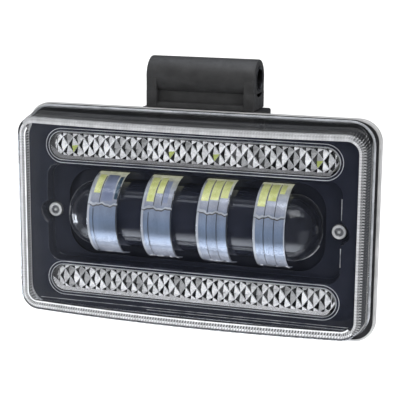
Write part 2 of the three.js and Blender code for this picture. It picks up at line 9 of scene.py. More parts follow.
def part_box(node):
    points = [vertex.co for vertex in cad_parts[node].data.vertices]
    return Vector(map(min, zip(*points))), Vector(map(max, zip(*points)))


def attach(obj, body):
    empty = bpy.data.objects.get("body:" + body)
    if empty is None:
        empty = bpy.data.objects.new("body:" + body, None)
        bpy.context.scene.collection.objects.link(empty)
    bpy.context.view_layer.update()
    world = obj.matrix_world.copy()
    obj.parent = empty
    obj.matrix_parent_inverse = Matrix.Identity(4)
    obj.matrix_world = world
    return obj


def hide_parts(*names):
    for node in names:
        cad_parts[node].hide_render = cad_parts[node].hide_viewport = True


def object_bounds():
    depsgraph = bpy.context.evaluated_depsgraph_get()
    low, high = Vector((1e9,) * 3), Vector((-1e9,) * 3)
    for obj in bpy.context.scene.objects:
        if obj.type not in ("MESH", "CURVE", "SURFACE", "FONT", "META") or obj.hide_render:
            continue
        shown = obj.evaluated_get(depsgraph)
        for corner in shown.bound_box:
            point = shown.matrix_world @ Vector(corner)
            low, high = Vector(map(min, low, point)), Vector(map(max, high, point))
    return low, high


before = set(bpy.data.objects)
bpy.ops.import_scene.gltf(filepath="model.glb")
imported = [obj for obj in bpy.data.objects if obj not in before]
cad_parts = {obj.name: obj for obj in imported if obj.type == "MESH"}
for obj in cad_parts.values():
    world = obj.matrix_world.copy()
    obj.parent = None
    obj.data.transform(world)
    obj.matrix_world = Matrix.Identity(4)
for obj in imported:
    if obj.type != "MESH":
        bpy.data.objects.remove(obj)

# All shapes are written in lamp millimetres: x to the right seen from the front, y back from the
# lens rim's back plane, z up from the lamp's middle. The frame's own boxes give the main sizes.
MM = 0.001
cad_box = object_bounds()
lens_low, lens_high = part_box("front_lens")
RIM_Y = lens_high.y
MID_Z = (lens_low.z + lens_high.z) / 2
HALF_W = lens_high.x / MM
HALF_H = (lens_high.z - lens_low.z) / 2 / MM
LAMP_CORNER = 11
PIVOT_Y = -RIM_Y / MM
PIVOT_Z = -MID_Z / MM


def local_box(node):
    """A CAD node's low and high corners in lamp millimetres."""
    low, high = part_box(node)
    shift = Vector((0, RIM_Y, MID_Z))
    return (low - shift) / MM, (high - shift) / MM


# ---- mesh helpers

def toned_mesh():
    """A mesh whose faces each carry a tone: a colour, and how much the face hides."""
    bm = bmesh.new()
    bm.loops.layers.float_color.new("tone")
    return bm


def toned_face(bm, points, tone):
    face = bm.faces.new([bm.verts.new(p) for p in points])
    for loop in face.loops:
        loop[bm.loops.layers.float_color["tone"]] = tone


def grey(level, hidden=1.0):
    """A cool grey tone."""
    return (level, level * 1.01, level * 1.04, hidden)


def half_outline(half_x, half_z, radius, corner_steps=10, edge_steps=24):
    """The upper half of a rounded rectangle, from right to left."""
    corner = []
    for i in range(corner_steps + 1):
        a = math.pi / 2 * i / corner_steps
        corner.append((half_x - radius + radius * math.cos(a), half_z - radius + radius * math.sin(a)))
    edge = [((half_x - radius) * (1 - 2 * i / edge_steps), half_z) for i in range(1, edge_steps)]
    return corner + edge + [(-x, z) for x, z in reversed(corner)]


def outline(half_x, half_z, radius, corner_steps=10, edge_steps=24):
    """A rounded rectangle as (x, z) points, anticlockwise, upper half first."""
    top = half_outline(half_x, half_z, radius, corner_steps, edge_steps)
    return top + [(x, -z) for x, z in reversed(top)]


def ring(points, depth):
    """An outline at a depth: a number, or a function of x and z."""
    place = depth if callable(depth) else (lambda x, z: depth)
    return [(x, place(x, z), z) for x, z in points]


def join_rows(bm, rows, slots=(0,), closed=False):
    """Joins rows of vertices with quads, and each row's end with its start if the rows are closed.
    slots gives the material slots across a row in turn."""
    for a, b in zip(rows, rows[1:]):
        for k in range(len(a) if closed else len(a) - 1):
            j = (k + 1) % len(a)
            bm.faces.new((a[k], a[j], b[j], b[k])).material_index = slots[k % len(slots)]
    return rows


def loft(bm, rings, slot=0, close=False):
    """Joins rings of equal length in order, and the last with the first if close is set."""
    rows = [[bm.verts.new(p) for p in r] for r in rings]
    if close:
        rows.append(rows[0])
    return join_rows(bm, rows, (slot,), closed=True)


def fill_bowed(bm, edge, depth):
    """Fills a ring in outline's order with strips from its upper to its lower half."""
    rows = 8
    grid = []
    for top, low in zip(edge[:len(edge) // 2], reversed(edge)):
        x = top.co.x
        heights = [top.co.z + (low.co.z - top.co.z) * k / rows for k in range(1, rows)]
        grid.append([top, *(bm.verts.new((x, depth(x, z), z)) for z in heights), low])
    join_rows(bm, grid)


def cap(bm, row, slot=0):
    bm.faces.new(row).material_index = slot


def turn_profile(bm, profile, centre, axis="y", steps=48, slot=0, arc=(0, 360)):
    """Turns (radius, along) pairs about the x or y axis through centre. A radius of 0 closes the end."""
    start, end = (math.radians(a) for a in arc)
    full = arc == (0, 360)
    turns = [start + (end - start) * i / steps for i in range(steps if full else steps + 1)]
    rows = []
    for radius, along in profile:
        row = []
        for a in turns:
            u, v = radius * math.cos(a), radius * math.sin(a)
            offset = (u, along, v) if axis == "y" else (along, u, v)
            row.append(bm.verts.new(Vector(centre) + Vector(offset)))
        rows.append(row)
    return join_rows(bm, rows, (slot,), full)


def box_with_edges(bm, low, high, edge):
    """A box between two corners, with rounded edges."""
    low, high = Vector(low), Vector(high)
    place = Matrix.Translation((high + low) / 2) @ Matrix.Diagonal((*(high - low), 1))
    made = bmesh.ops.create_cube(bm, size=1.0, matrix=place)
    edges = list({e for v in made["verts"] for e in v.link_edges})
    bmesh.ops.bevel(bm, geom=edges, offset=edge, segments=2, profile=0.5, affect="EDGES")


def new_object(name, data):
    made = bpy.data.objects.new(name, data)
    bpy.context.scene.collection.objects.link(made)
    return made


def add_plate(bm, shape, holes, front, back, edge=0.4):
    """A flat plate with holes and rounded edges between two depths."""
    curve = bpy.data.curves.new("outline", "CURVE")
    curve.dimensions, curve.fill_mode = "2D", "BOTH"
    curve.extrude = (back - front) / 2 - edge
    curve.bevel_depth, curve.bevel_resolution, curve.offset = edge, 2, -edge
    for points in [shape, *holes]:
        spline = curve.splines.new("POLY")
        spline.points.add(len(points) - 1)
        for point, (u, v) in zip(spline.points, points):
            point.co = (u, v, 0, 1)
        spline.use_cyclic_u = True
    holder = new_object("outline", curve)
    graph = bpy.context.evaluated_depsgraph_get()
    mesh = bpy.data.meshes.new_from_object(holder.evaluated_get(graph))
    mesh.transform(Matrix(((1, 0, 0, 0), (0, 0, -1, (front + back) / 2), (0, 1, 0, 0), (0, 0, 0, 1))))
    bm.from_mesh(mesh)
    bpy.data.objects.remove(holder)
    bpy.data.curves.remove(curve)
    bpy.data.meshes.remove(mesh)


def piece(name, bm, materials, smooth=32, replaces=(), body="lamp"):
    """Turns a bmesh in lamp millimetres into an object in the row frame that rides on a body.
    materials names its finishes."""
    bmesh.ops.remove_doubles(bm, verts=bm.verts, dist=0.004)
    bmesh.ops.recalc_face_normals(bm, faces=bm.faces)
    mesh = bpy.data.meshes.new(name)
    bm.to_mesh(mesh)
    bm.free()
    mesh.transform(Matrix.Translation((0, RIM_Y, MID_Z)) @ Matrix.Scale(MM, 4))
    for key in materials.split():
        mesh.materials.append(finish[key])
    mesh.polygons.foreach_set("use_smooth", [True] * len(mesh.polygons))
    mesh.set_sharp_from_angle(angle=math.radians(smooth))
    made = new_object(name, mesh)
    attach(made, body)
    if replaces:
        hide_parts(*replaces)


# ---- material helpers

class Nodes:
    """The node tree of a material, or of a world, with short ways to add what they share here."""

    def __init__(self, name, world=False):
        self.made = (bpy.data.worlds if world else bpy.data.materials).new(name)
        self.made.use_nodes = True
        self.tree = self.made.node_tree
        self.tree.nodes.clear()
        self.out = self.tree.nodes.new("ShaderNodeOutputWorld" if world else "ShaderNodeOutputMaterial")
        self.place = self.tree.nodes.new("ShaderNodeTexCoord").outputs["Generated" if world else "Object"]

    def add(self, kind, **inputs):
        node = self.tree.nodes.new(kind)
        for key, value in inputs.items():
            self.put(node.inputs[key.replace("_", " ")], value)
        return node

    def put(self, socket, value):
        if isinstance(value, bpy.types.NodeSocket):
            self.tree.links.new(value, socket)
        elif isinstance(value, tuple) and len(value) == 3 and socket.type == "RGBA":
            socket.default_value = (*value, 1)
        else:
            socket.default_value = value

    def noise(self, scale, detail=3.0, rough=0.5, stretch=None):
        place = self.place
        if stretch:
            place = self.add("ShaderNodeMapping", Vector=place, Scale=stretch).outputs[0]
        node = self.add("ShaderNodeTexNoise", Vector=place, Scale=scale, Detail=detail, Roughness=rough)
        return node.outputs["Fac"]

    def spread(self, value, low, high, start=0.3, end=0.7):
        return self.add("ShaderNodeMapRange", Value=value, From_Min=start, From_Max=end, To_Min=low,
                        To_Max=high).outputs[0]

    def ramp(self, value, *stops):
        node = self.add("ShaderNodeValToRGB", Fac=value)
        while len(node.color_ramp.elements) < len(stops):
            node.color_ramp.elements.new(0.5)
        for element, (position, colour) in zip(node.color_ramp.elements, stops):
            element.position, element.color = position, (*colour, 1)
        return node.outputs[0]

    def mix(self, factor, a, b, blend="MIX"):
        node = self.tree.nodes.new("ShaderNodeMix")
        node.data_type, node.blend_type = "RGBA", blend
        self.put(node.inputs[0], factor)
        self.put(node.inputs[6], a)
        self.put(node.inputs[7], b)
        return node.outputs[2]

    def tint(self, colour, other):
        return self.mix(1.0, colour, other, "MULTIPLY")

    def bump(self, height, strength, distance):
        return self.add("ShaderNodeBump", Height=height, Strength=strength, Distance=distance).outputs[0]

    def surface(self, colour, roughness, normal=None, **plain):
        if normal is not None:
            plain["Normal"] = normal
        node = self.add("ShaderNodeBsdfPrincipled", Base_Color=colour, Roughness=roughness, **plain)
        return node.outputs[0]

    def step(self, value, start, end):
        node = self.add("ShaderNodeMapRange", Value=value, From_Min=start, From_Max=end)
        node.interpolation_type = "SMOOTHSTEP"
        return node.outputs[0]

    def math(self, operation, a, b=0.0):
        node = self.tree.nodes.new("ShaderNodeMath")
        node.operation = operation
        self.put(node.inputs[0], a)
        self.put(node.inputs[1], b)
        return node.outputs[0]

    def times(self, first, *others):
        for other in others:
            first = self.math("MULTIPLY", first, other)
        return first

    def blend(self, share, first, second):
        node = self.tree.nodes.new("ShaderNodeMixShader")
        for socket, value in zip(node.inputs, (share, first, second)):
            self.put(socket, value)
        return node.outputs[0]

    def tone(self):
        """The colour and the hidden share stored on the mesh."""
        node = self.add("ShaderNodeAttribute")
        node.attribute_name = "tone"
        return node.outputs["Color"], node.outputs["Alpha"]

    def finish(self, shader):
        self.tree.links.new(shader, self.out.inputs["Surface"])
        return self.made


def moulded(name, dark, light, rough, grain, depth, metallic=0.0, **plain):
    """A solid finish: blotchy colour, varied gloss and a fine grain. grain is in grains per metre."""
    n = Nodes(name)
    blotch = n.noise(grain / 12)
    fine = n.noise(grain, 4.0, 0.6)
    colour = n.mix(n.spread(blotch, 0, 1), dark, light)
    gloss = n.spread(n.noise(grain / 5), rough * 0.85, min(1.0, rough * 1.18))
    normal = n.bump(fine, 0.6, depth)
    return n.finish(n.surface(colour, gloss, normal, Metallic=metallic, **plain))


def gloss_black_material():
    """Polished blue-black plastic with a faint waviness in its reflections."""
    n = Nodes("gloss_black")
    colour = n.mix(n.spread(n.noise(60), 0, 1), (0.018, 0.021, 0.034), (0.027, 0.03, 0.046))
    normal = n.bump(n.noise(70, 1.0), 0.1, 0.0001)
    gloss = n.spread(n.noise(45), 0.05, 0.11)
    return n.finish(n.surface(colour, gloss, normal, Coat_Weight=0.5, Coat_Roughness=0.02))


def clear_plastic(name, tint, straight=0.04, rough=0.02):
    """Thin clear plastic: what is behind shows through, and the surface mirrors more at a slant.
    straight is the share it mirrors when seen straight on, the same from either side."""
    n = Nodes(name)
    normal = n.bump(n.noise(90, 2.0), 0.15, 0.00002)
    through = n.add("ShaderNodeBsdfTransparent", Color=tint).outputs[0]
    mirror = n.add("ShaderNodeBsdfAnisotropic", Color=(1, 1, 1), Roughness=rough, Normal=normal).outputs[0]
    slant = n.add("ShaderNodeLayerWeight", Blend=0.5, Normal=normal).outputs["Facing"]
    share = n.spread(n.math("POWER", slant, 5.0), straight, 1.0, 0.0, 1.0)
    return n.finish(n.blend(share, through, mirror))


def painted_highlight_material():
    """Painted highlight on clear plastic: half see-through, half a pale surface in blotches, for light
    gathered in its thickness.
    """
    n = Nodes("painted_highlight_edge")
    through = n.add("ShaderNodeBsdfTransparent", Color=(0.93, 0.95, 0.97)).outputs[0]
    cloud = n.spread(n.noise(160, 3.0, 0.6), 0.35, 0.75)
    pale = n.surface((0.82, 0.85, 0.9), 0.15, n.bump(n.noise(500), 0.2, 0.00003))
    return n.finish(n.blend(cloud, through, pale))


def rib_material():
    """Moulded ribs with painted light and shade: each flank's lit or shaded tone is stored on the mesh, and
    how much it hides in its alpha. The emission paints a faint glow.
    """
    n = Nodes("edge_ribs_painted_light")
    tone, hidden = n.tone()
    cloud = n.spread(n.noise(300, 3.0, 0.6), 0.75, 1.1)
    colour = n.tint(tone, cloud)
    pale = n.surface(colour, 0.35, n.bump(n.noise(500), 0.2, 0.00003), Emission_Color=colour,
                     Emission_Strength=0.2, Specular_IOR_Level=0.1)
    through = n.add("ShaderNodeBsdfTransparent", Color=(1, 1, 1)).outputs[0]
    return n.finish(n.blend(hidden, through, pale))


def facet_material():
    """Prism facets: each facet's painted tone, a painted reflection or painted shade, is stored on the mesh.
    The emission is painted light, so facets that would throw light back at the viewer are brighter than plain
    white paint would be."""
    n = Nodes("prism_facets")
    tone, _ = n.tone()
    shade = n.spread(n.noise(900, 3.0, 0.6), 0.72, 1.05)
    colour = n.tint(tone, shade)
    painted_reflection = n.tint(colour, colour)
    return n.finish(n.surface(colour, 0.2, n.bump(n.noise(700), 0.25, 0.00004), Emission_Color=painted_reflection,
                              Emission_Strength=0.62))


def make_finishes():
    """Every shared finish by name. moulded takes a dark and a light colour, roughness, grain and depth."""
    return {
        "lens": clear_plastic("clear_lens", (0.985, 0.988, 0.99), straight=0.045),
        "cover": clear_plastic("clear_optic", (0.99, 0.99, 0.99), rough=0.03),
        "band": clear_plastic("band_optic", (0.95, 0.96, 0.98), straight=0.05, rough=0.04),
        "ribs": rib_material(),
        "glow": painted_highlight_material(),
        "edge": moulded("painted_edge_highlight", (0.2, 0.21, 0.24), (0.75, 0.77, 0.8), 0.2, 3000, 0.00002),
        "gloss": gloss_black_material(),
        "cast": moulded("cast_black", (0.02, 0.02, 0.022), (0.034, 0.034, 0.037), 0.36, 2400, 0.00003),
        "pale_edge": moulded("painted_band_highlight", (0.42, 0.44, 0.49), (0.66, 0.69, 0.74), 0.2, 1400, 0.00003),
        "sky": moulded("sky_facet", (0.26, 0.3, 0.44), (0.4, 0.45, 0.6), 0.15, 1200, 0.00003),
        "teal": moulded("teal_facet", (0.05, 0.09, 0.13), (0.1, 0.16, 0.22), 0.15, 1200, 0.00003),
        "smoke": moulded("painted_ledge_shade", (0.06, 0.055, 0.05), (0.13, 0.12, 0.11), 0.3, 1500, 0.00003),
        "ridge": moulded("painted_rim_highlight", (0.4, 0.42, 0.46), (0.8, 0.82, 0.88), 0.25, 1100, 0.00002),
        "worn_cast": moulded("pale_flange_edge", (0.5, 0.5, 0.5), (0.75, 0.75, 0.75), 0.38, 1400, 0.00004, 0.3),
        "lug": moulded("lug_black", (0.03, 0.03, 0.031), (0.044, 0.044, 0.045), 0.55, 2600, 0.00007),
        "rubber": moulded("seal_rubber", (0.008, 0.008, 0.009), (0.016, 0.016, 0.017), 0.7, 1800, 0.00004),
        "steel": moulded("zinc_steel", (0.62, 0.63, 0.65), (0.86, 0.87, 0.88), 0.3, 3000, 0.00002, 0.15),
        "steel_side": moulded("steel_head_side_painted_shade", (0.16, 0.16, 0.17), (0.3, 0.3, 0.32), 0.35, 3000, 0.00002,
                              0.4),
        "steel_deep": moulded("steel_recess_painted_shade", (0.2, 0.2, 0.22), (0.4, 0.41, 0.43), 0.35, 3000, 0.00002, 0.3),
        "dark_steel": moulded("black_oxide_steel", (0.03, 0.03, 0.033), (0.07, 0.07, 0.075), 0.35, 2500,
                              0.00003, 0.9),
        "mirror": moulded("metallised_mirror", (0.7, 0.74, 0.8), (0.85, 0.88, 0.92), 0.12, 500, 0.00002, 0.9),
        "board": moulded("white_board", (0.62, 0.62, 0.6), (0.74, 0.74, 0.71), 0.45, 1500, 0.00002),
        "green": moulded("green_board", (0.012, 0.07, 0.035), (0.02, 0.11, 0.055), 0.35, 1500, 0.00002),
        "pad": moulded("thermal_pad", (0.2, 0.22, 0.24), (0.3, 0.32, 0.34), 0.85, 900, 0.00006),
        "epoxy": moulded("black_epoxy", (0.015, 0.015, 0.016), (0.03, 0.03, 0.032), 0.5, 2200, 0.00004),
        # The phosphor's yellow is its own colour; its emission is a painted glow.
        "phosphor": moulded("led_phosphor_painted_glow", (0.5, 0.55, 0.13), (0.82, 0.84, 0.42), 0.4, 2600, 0.00003,
                            Emission_Color=(0.75, 0.76, 0.36), Emission_Strength=0.3),
        "facets": facet_material(),
    }


finish = make_finishes()

# ---- front lens

LENS_STEP = 0.6
LENS_SIDE_LEAN, LENS_EDGE_LEAN = 0.6, 2.8
LENS_DEPTH = 17.0
LENS_CROWN = 5.5
LENS_EDGE = 1.3
LENS_WALL = 1.8
FACE_CORNER = 8.5
FACE_HALF_W = HALF_W - LENS_STEP - LENS_SIDE_LEAN


def lens_face(inset):
    """Depth of the lens face, at an inset behind its outer surface: it bows forward in x only."""
    def depth(x, z):
        return -LENS_DEPTH + inset - LENS_CROWN * max(1 - (x / FACE_HALF_W) ** 2, 0)
    return depth


def lens_outline(share, inset, corner_steps=12, edge_steps=32):
    """The side wall's outline: share runs from 0 at the rim to 1 at the face."""
    half_x = HALF_W - LENS_STEP - LENS_SIDE_LEAN * share - inset
    half_z = HALF_H - LENS_STEP - LENS_EDGE_LEAN * share - inset
    return outline(half_x, half_z, FACE_CORNER - inset, corner_steps, edge_steps)


def wall_depth(share, inset, drop=0.0):
    """Depth along the side wall. drop keeps the wall clear of the face by that much."""
    face = lens_face(inset)
    return lambda x, z: (face(x, z) + drop) * share


def lens_skin(bm, inset, edge):
    """Rings from the rim to the face at an inset from the outer surface, then the face itself."""
    face = lens_face(inset)
    start = 0.1 if inset == 0 else 0.0
    shares = [start, 0.3, 0.5, 0.7, 0.85, 1.0]
    rings = [ring(lens_outline(share, inset), wall_depth(share, inset, edge)) for share in shares]
    for i in range(1, 7):
        a = math.pi / 2 * i / 6
        lift = edge * (1 - math.sin(a))
        shape = lens_outline(1.0, inset + edge * (1 - math.cos(a)))
        rings.append(ring(shape, lambda x, z, lift=lift: face(x, z) + lift))
    rows = loft(bm, rings)
    fill_bowed(bm, rows[-1], face)
    return rows[0]


def rim(inset, depth):
    """The lamp's outline, at an inset and a depth."""
    return ring(outline(HALF_W - inset, HALF_H - inset, max(LAMP_CORNER - inset, 1)), depth)


def front_lens():
    bm = bmesh.new()
    lens_skin(bm, 0, LENS_EDGE)
    lens_skin(bm, LENS_WALL, 0.6)
    loft(bm, [rim(LENS_STEP, -1.8), rim(0.25, -1.8), rim(0, -1.5), rim(0, -0.3), rim(0.3, 0.0),
              rim(LENS_STEP + LENS_WALL, 0.0)])
    piece("lens_shell", bm, "lens", 40, ["front_lens"])


RIB_PITCH = 1.25
RIB_STEP = 0.4
TICK_SLANT = 0.35
# Painted highlight bands just behind the face's edge as (from, to, light, dark, hidden share), with insets in
# mm.
# Their flanks alternate between the painted lit and the painted shaded tone; each side has its own set, and
# FRAME_LOW ends in a painted shade band.
FRAME_LOW = ((0.35, 2.3, 0.95, 0.5, 0.95), (2.3, 3.6, 0.55, 0.08, 0.97), (3.6, 4.3, 0.95, 0.88, 0.95),
             (4.3, 4.8, 0.02, 0.02, 0.7))
FRAME_RIGHT = ((0.05, 0.9, 0.34, 0.02, 0.95), (0.9, 1.9, 0.3, 0.16, 0.9), (1.9, 2.9, 0.62, 0.5, 0.9))
FRAME_TOP = ((0.05, 0.5, 0.3, 0.26, 0.6), (0.5, 1.7, 0.5, 0.4, 0.8), (1.7, 2.9, 0.6, 0.54, 0.85))


def under_edge(inset):
    """How far the skin's rounded edge, and a little more, lies behind the face at an inset."""
    rise = 1 - min(inset / LENS_EDGE, 1)
    return LENS_EDGE * (1 - math.sqrt(1 - rise * rise)) + 0.2


PAINTED_EDGE_SHADE_TONE = (0.012, 0.012, 0.015, 0.97)


def painted_edge_shade(bm, ends, face):
    """Painted shade: a dark thin film on the rounded edge, for the dark line that the edge shows from
    outside.
    """
    reach = LENS_EDGE + 0.03
    steps = []
    for degrees in (4, 35, 65, 90):
        a = math.radians(degrees)
        steps.append((LENS_EDGE - reach * math.sin(a), max(LENS_EDGE - reach * math.cos(a), 0)))
    steps.append((-0.03, 3.0))
    for near, far in zip(steps, steps[1:]):
        corners = ((ends[0], near), (ends[1], near), (ends[1], far), (ends[0], far))
        points = [(x - nx * inset, face(x, z) + lift, z - nz * inset)
                  for (x, z, nx, nz), (inset, lift) in corners]
        toned_face(bm, points, PAINTED_EDGE_SHADE_TONE)


def frame_corner(place, inset, slip, face):
    """A point under the face's edge, at an inset and slipped along the edge."""
    x, z, nx, nz = place
    u, v = x - nx * inset - nz * slip, z - nz * inset + nx * slip
    return (u, face(u, v) + under_edge(inset), v)


def lens_edge_frame():
    """A painted highlight behind the face's edge: a pale band with fine ticks, for light gathered in the
    thick plastic.
    """
    face = lens_face(0)
    path = resample(lens_outline(1.0, 0, 24, 140), RIB_PITCH)
    bm = toned_mesh()
    for i, (here, after) in enumerate(zip(path, path[1:] + path[:1])):
        nx, nz = here[2:]
        bands = FRAME_RIGHT if nx > nz * 0.6 else FRAME_TOP
        if nx + nz < 0:
            bands = FRAME_LOW
            painted_edge_shade(bm, (here, after), face)
        for inner, outer, light, dark, hidden in bands:
            slip = TICK_SLANT * (outer - inner)
            corners = ((here, inner, 0), (after, inner, 0), (after, outer, slip), (here, outer, slip))
            points = [frame_corner(*corner, face) for corner in corners]
            toned_face(bm, points, grey(light if i % 2 else dark, hidden))
    piece("lens_edge_frame", bm, "ribs", 5)


def lens_rim_light():
    """The lens rim's front edge, with a painted highlight where it turns."""
    bm = bmesh.new()
    loft(bm, [rim(LENS_STEP + 0.25, -1.7), rim(0.3, -1.7), rim(0.12, -1.4), rim(0.12, -0.6)])
    piece("lens_rim_light", bm, "glow", 60)


RIB_ROWS = (0.3, 3.0, 6.8, 10.6, 12.6)
# Painted lit and shaded flank of the ribs in each row from the face back, as (light, dark, hidden share);
# each side of the lamp gets its own painted light.
RIB_TONES = {
    "left": ((0.8, 0.6, 0.5), (0.8, 0.4, 0.7), (0.6, 0.1, 0.9), (0.9, 0.75, 0.9)),
    "right": ((0.34, 0.01, 0.97), (0.3, 0.01, 0.97), (0.07, 0.01, 0.85), (0.35, 0.04, 0.7)),
    "top": ((0.2, 0.03, 0.9), (0.12, 0.02, 0.8), (0.06, 0.03, 0.6), (0.1, 0.05, 0.6)),
    "bottom": ((0.75, 0.55, 0.5), (0.7, 0.3, 0.7), (0.7, 0.1, 0.8), (0.7, 0.5, 0.7)),
}


def side_of(nx, nz):
    """Which side of the lamp an outward normal points to."""
    if abs(nx) > abs(nz):
        return "right" if nx > 0 else "left"
    return "top" if nz > 0 else "bottom"


def rib_corner(place, step, along, face):
    """A point on a rib's flank, along mm behind the face, stepped inwards."""
    x, z, nx, nz = place
    x, z = x - nx * step, z - nz * step
    lean = (along - 4.5) / LENS_DEPTH
    return (x + nx * LENS_SIDE_LEAN * lean, face(x, z) + along, z + nz * LENS_EDGE_LEAN * lean)


def lens_ribs():
    """Fine ridges moulded inside the side wall behind the face, all the way round, with painted light and
    shade on their flanks.
    """
    path = resample(lens_outline(0.8, 0.75, 24, 140), RIB_PITCH)
    face = lens_face(0.3)
    bm = toned_mesh()
    for i, (here, after) in enumerate(zip(path, path[1:] + path[:1])):
        light = i % 2 == 0
        here_step, after_step = (RIB_STEP, 0) if light else (0, RIB_STEP)
        rows = zip(RIB_ROWS, RIB_ROWS[1:], RIB_TONES[side_of(*here[2:])])
        for front, back, (pale, dark, hidden) in rows:
            corners = ((here, here_step, front), (after, after_step, front),
                       (after, after_step, back), (here, here_step, back))
            points = [rib_corner(*corner, face) for corner in corners]
            toned_face(bm, points, grey(pale if light else dark, hidden))
    piece("lens_edge_ribs", bm, "ribs", 5)


def resample(points, pitch):
    """Evenly spaced points along a closed outline, two per pitch, with outward normals."""
    closed = points + [points[0]]
    lengths = [0.0]
    for (x0, z0), (x1, z1) in zip(closed, closed[1:]):
        lengths.append(lengths[-1] + math.hypot(x1 - x0, z1 - z0))
    count = 2 * round(lengths[-1] / pitch)
    made, k = [], 0
    for i in range(count):
        want = lengths[-1] * i / count
        while lengths[k + 1] < want:
            k += 1
        t = (want - lengths[k]) / max(lengths[k + 1] - lengths[k], 1e-9)
        (x0, z0), (x1, z1) = closed[k], closed[k + 1]
        along = Vector((x1 - x0, z1 - z0)).normalized()
        made.append((x0 + (x1 - x0) * t, z0 + (z1 - z0) * t, along.y, -along.x))
    return made


# ---- housing and seal

gasket_low, gasket_high = local_box("lens_gasket")
housing_low, housing_high = local_box("rear_housing")
BOWL_BACK = 34.0
BOWL_INSET, BOWL_TAPER = 5.1, 5.9
FLANGE_BACK = housing_low.y + 3.2
FLANGE_HALF_W, FLANGE_CORNER = housing_high.x, 10
FLANGE_HALF_H = (housing_high.z - housing_low.z) / 2
FLANGE_MID = (housing_high.z + housing_low.z) / 2
FIN_COUNT, FIN_PITCH = 13, 9.2
FIN_HALF_H, SHORT_FIN_FOOT, FULL_FIN_LIMIT = 34, -6, 44
FIN_REACH = 9
PORT_X, PORT_Z, PORT_R = 52, -22, 8.5


def lens_gasket():
    bm = bmesh.new()
    w, h, r = gasket_high.x, gasket_high.z, LAMP_CORNER - 0.5
    front, back = gasket_low.y, gasket_high.y
    section = ((6, front), (0.5, front), (0.1, front + 0.3), (0.1, back - 0.3), (0.5, back), (6, back))
    loft(bm, [ring(outline(w - inset, h - inset, r - inset), depth) for inset, depth in section], close=True)
    piece("seal_band", bm, "rubber", replaces=["lens_gasket"])


def flange_ring(inset, depth):
    shape = outline(FLANGE_HALF_W - inset, FLANGE_HALF_H - inset, max(FLANGE_CORNER - inset, 1))
    return ring([(x, z + FLANGE_MID) for x, z in shape], depth)


def rear_housing():
    bm = bmesh.new()
    front, back = housing_low.y, FLANGE_BACK
    loft(bm, [rim(6.5, front), rim(0.3, front), flange_ring(1.1, front)])
    edge = ((1.1, front), (0.5, front), (0.15, front + 0.15), (0, front + 0.5), (0, back - 0.5),
            (0.15, back - 0.15), (0.6, back))
    # The flange's front edge and side are light grey, slot 1.
    loft(bm, [flange_ring(inset, depth) for inset, depth in edge], slot=1)

    bowl = [(1.6, 0), (2.6, 0.25), (3.6, 1.0), (4.6, 2.4), (BOWL_INSET, 4.4)]
    bowl += [(BOWL_INSET + BOWL_TAPER * share, (BOWL_BACK - back) * share)
             for share in (0.3, 0.5, 0.75, 0.94)]
    rings = [flange_ring(0.6, back)] + [rim(inset, back + behind) for inset, behind in bowl]
    rings += [rim(11.6, BOWL_BACK - 0.7), rim(12.6, BOWL_BACK - 0.1), rim(13.6, BOWL_BACK)]
    cap(bm, loft(bm, rings)[-1])
    cap(bm, loft(bm, [rim(6.5, front), rim(7.6, back + 3), rim(13.6, BOWL_BACK - 3)])[-1])

    for i in range(FIN_COUNT):
        x = (i - (FIN_COUNT - 1) / 2) * FIN_PITCH
        fin(bm, x, -FIN_HALF_H if abs(x) < FULL_FIN_LIMIT else SHORT_FIN_FOOT, FIN_HALF_H)
    box_with_edges(bm, (-28, front + 1.2, 38), (28, 22.5, HALF_H - 0.02), 0.8)
    boss = [(0, -1), (PORT_R, -1), (PORT_R, 1.5), (PORT_R - 0.5, 2), (0, 2)]
    for side in (-1, 1):
        turn_profile(bm, boss, (side * PORT_X, BOWL_BACK, PORT_Z))
    piece("housing_shell", bm, "cast worn_cast", replaces=["rear_housing"])


def fin(bm, x, low, high):
    """One cooling fin: thicker at its root, with rounded edges."""
    root, tip = BOWL_BACK - 0.5, BOWL_BACK + FIN_REACH
    rows = []
    for half, depth in ((1.5, root), (1.35, root + 1.5), (1.1, tip - 0.5), (0.75, tip - 0.12), (0.0, tip)):
        slope = (depth - root) * 0.42 + (0.0 if depth < tip - 0.3 else 0.4)
        z0, z1 = low - 1 + slope, high + 1 - slope
        section = [(-half, z0 + 0.5), (-half * 0.4, z0), (half * 0.4, z0), (half, z0 + 0.5)]
        section += [(half, z1 - 0.5), (half * 0.4, z1), (-half * 0.4, z1), (-half, z1 - 0.5)]
        rows.append([(x + across, depth, z) for across, z in section])
    loft(bm, rows)


# ---- pivot lug and sleeve

lug_low, lug_high = local_box("pivot_lug")
LUG_R = lug_high.z - PIVOT_Z
LUG_BORE_R = 5.7
LUG_POST = 5
SLEEVE_BORE_R, SLEEVE_R = 4.6, 5.6


def lug_box(bm, span, low, high, edge):
    """A box across the lug, between (y, z) corners measured from the bore's axis."""
    box_with_edges(bm, (span[0], PIVOT_Y + low[0], PIVOT_Z + low[1]),
                   (span[1], PIVOT_Y + high[0], PIVOT_Z + high[1]), edge)


def pivot_tube(bm, half_profile, steps):
    """A tube round the pivot's axis. half_profile has its (radius, x) pairs on the right."""
    profile = [(radius, -along) for radius, along in half_profile] + half_profile[::-1]
    turn_profile(bm, profile + profile[:1], (0, PIVOT_Y, PIVOT_Z), "x", steps)


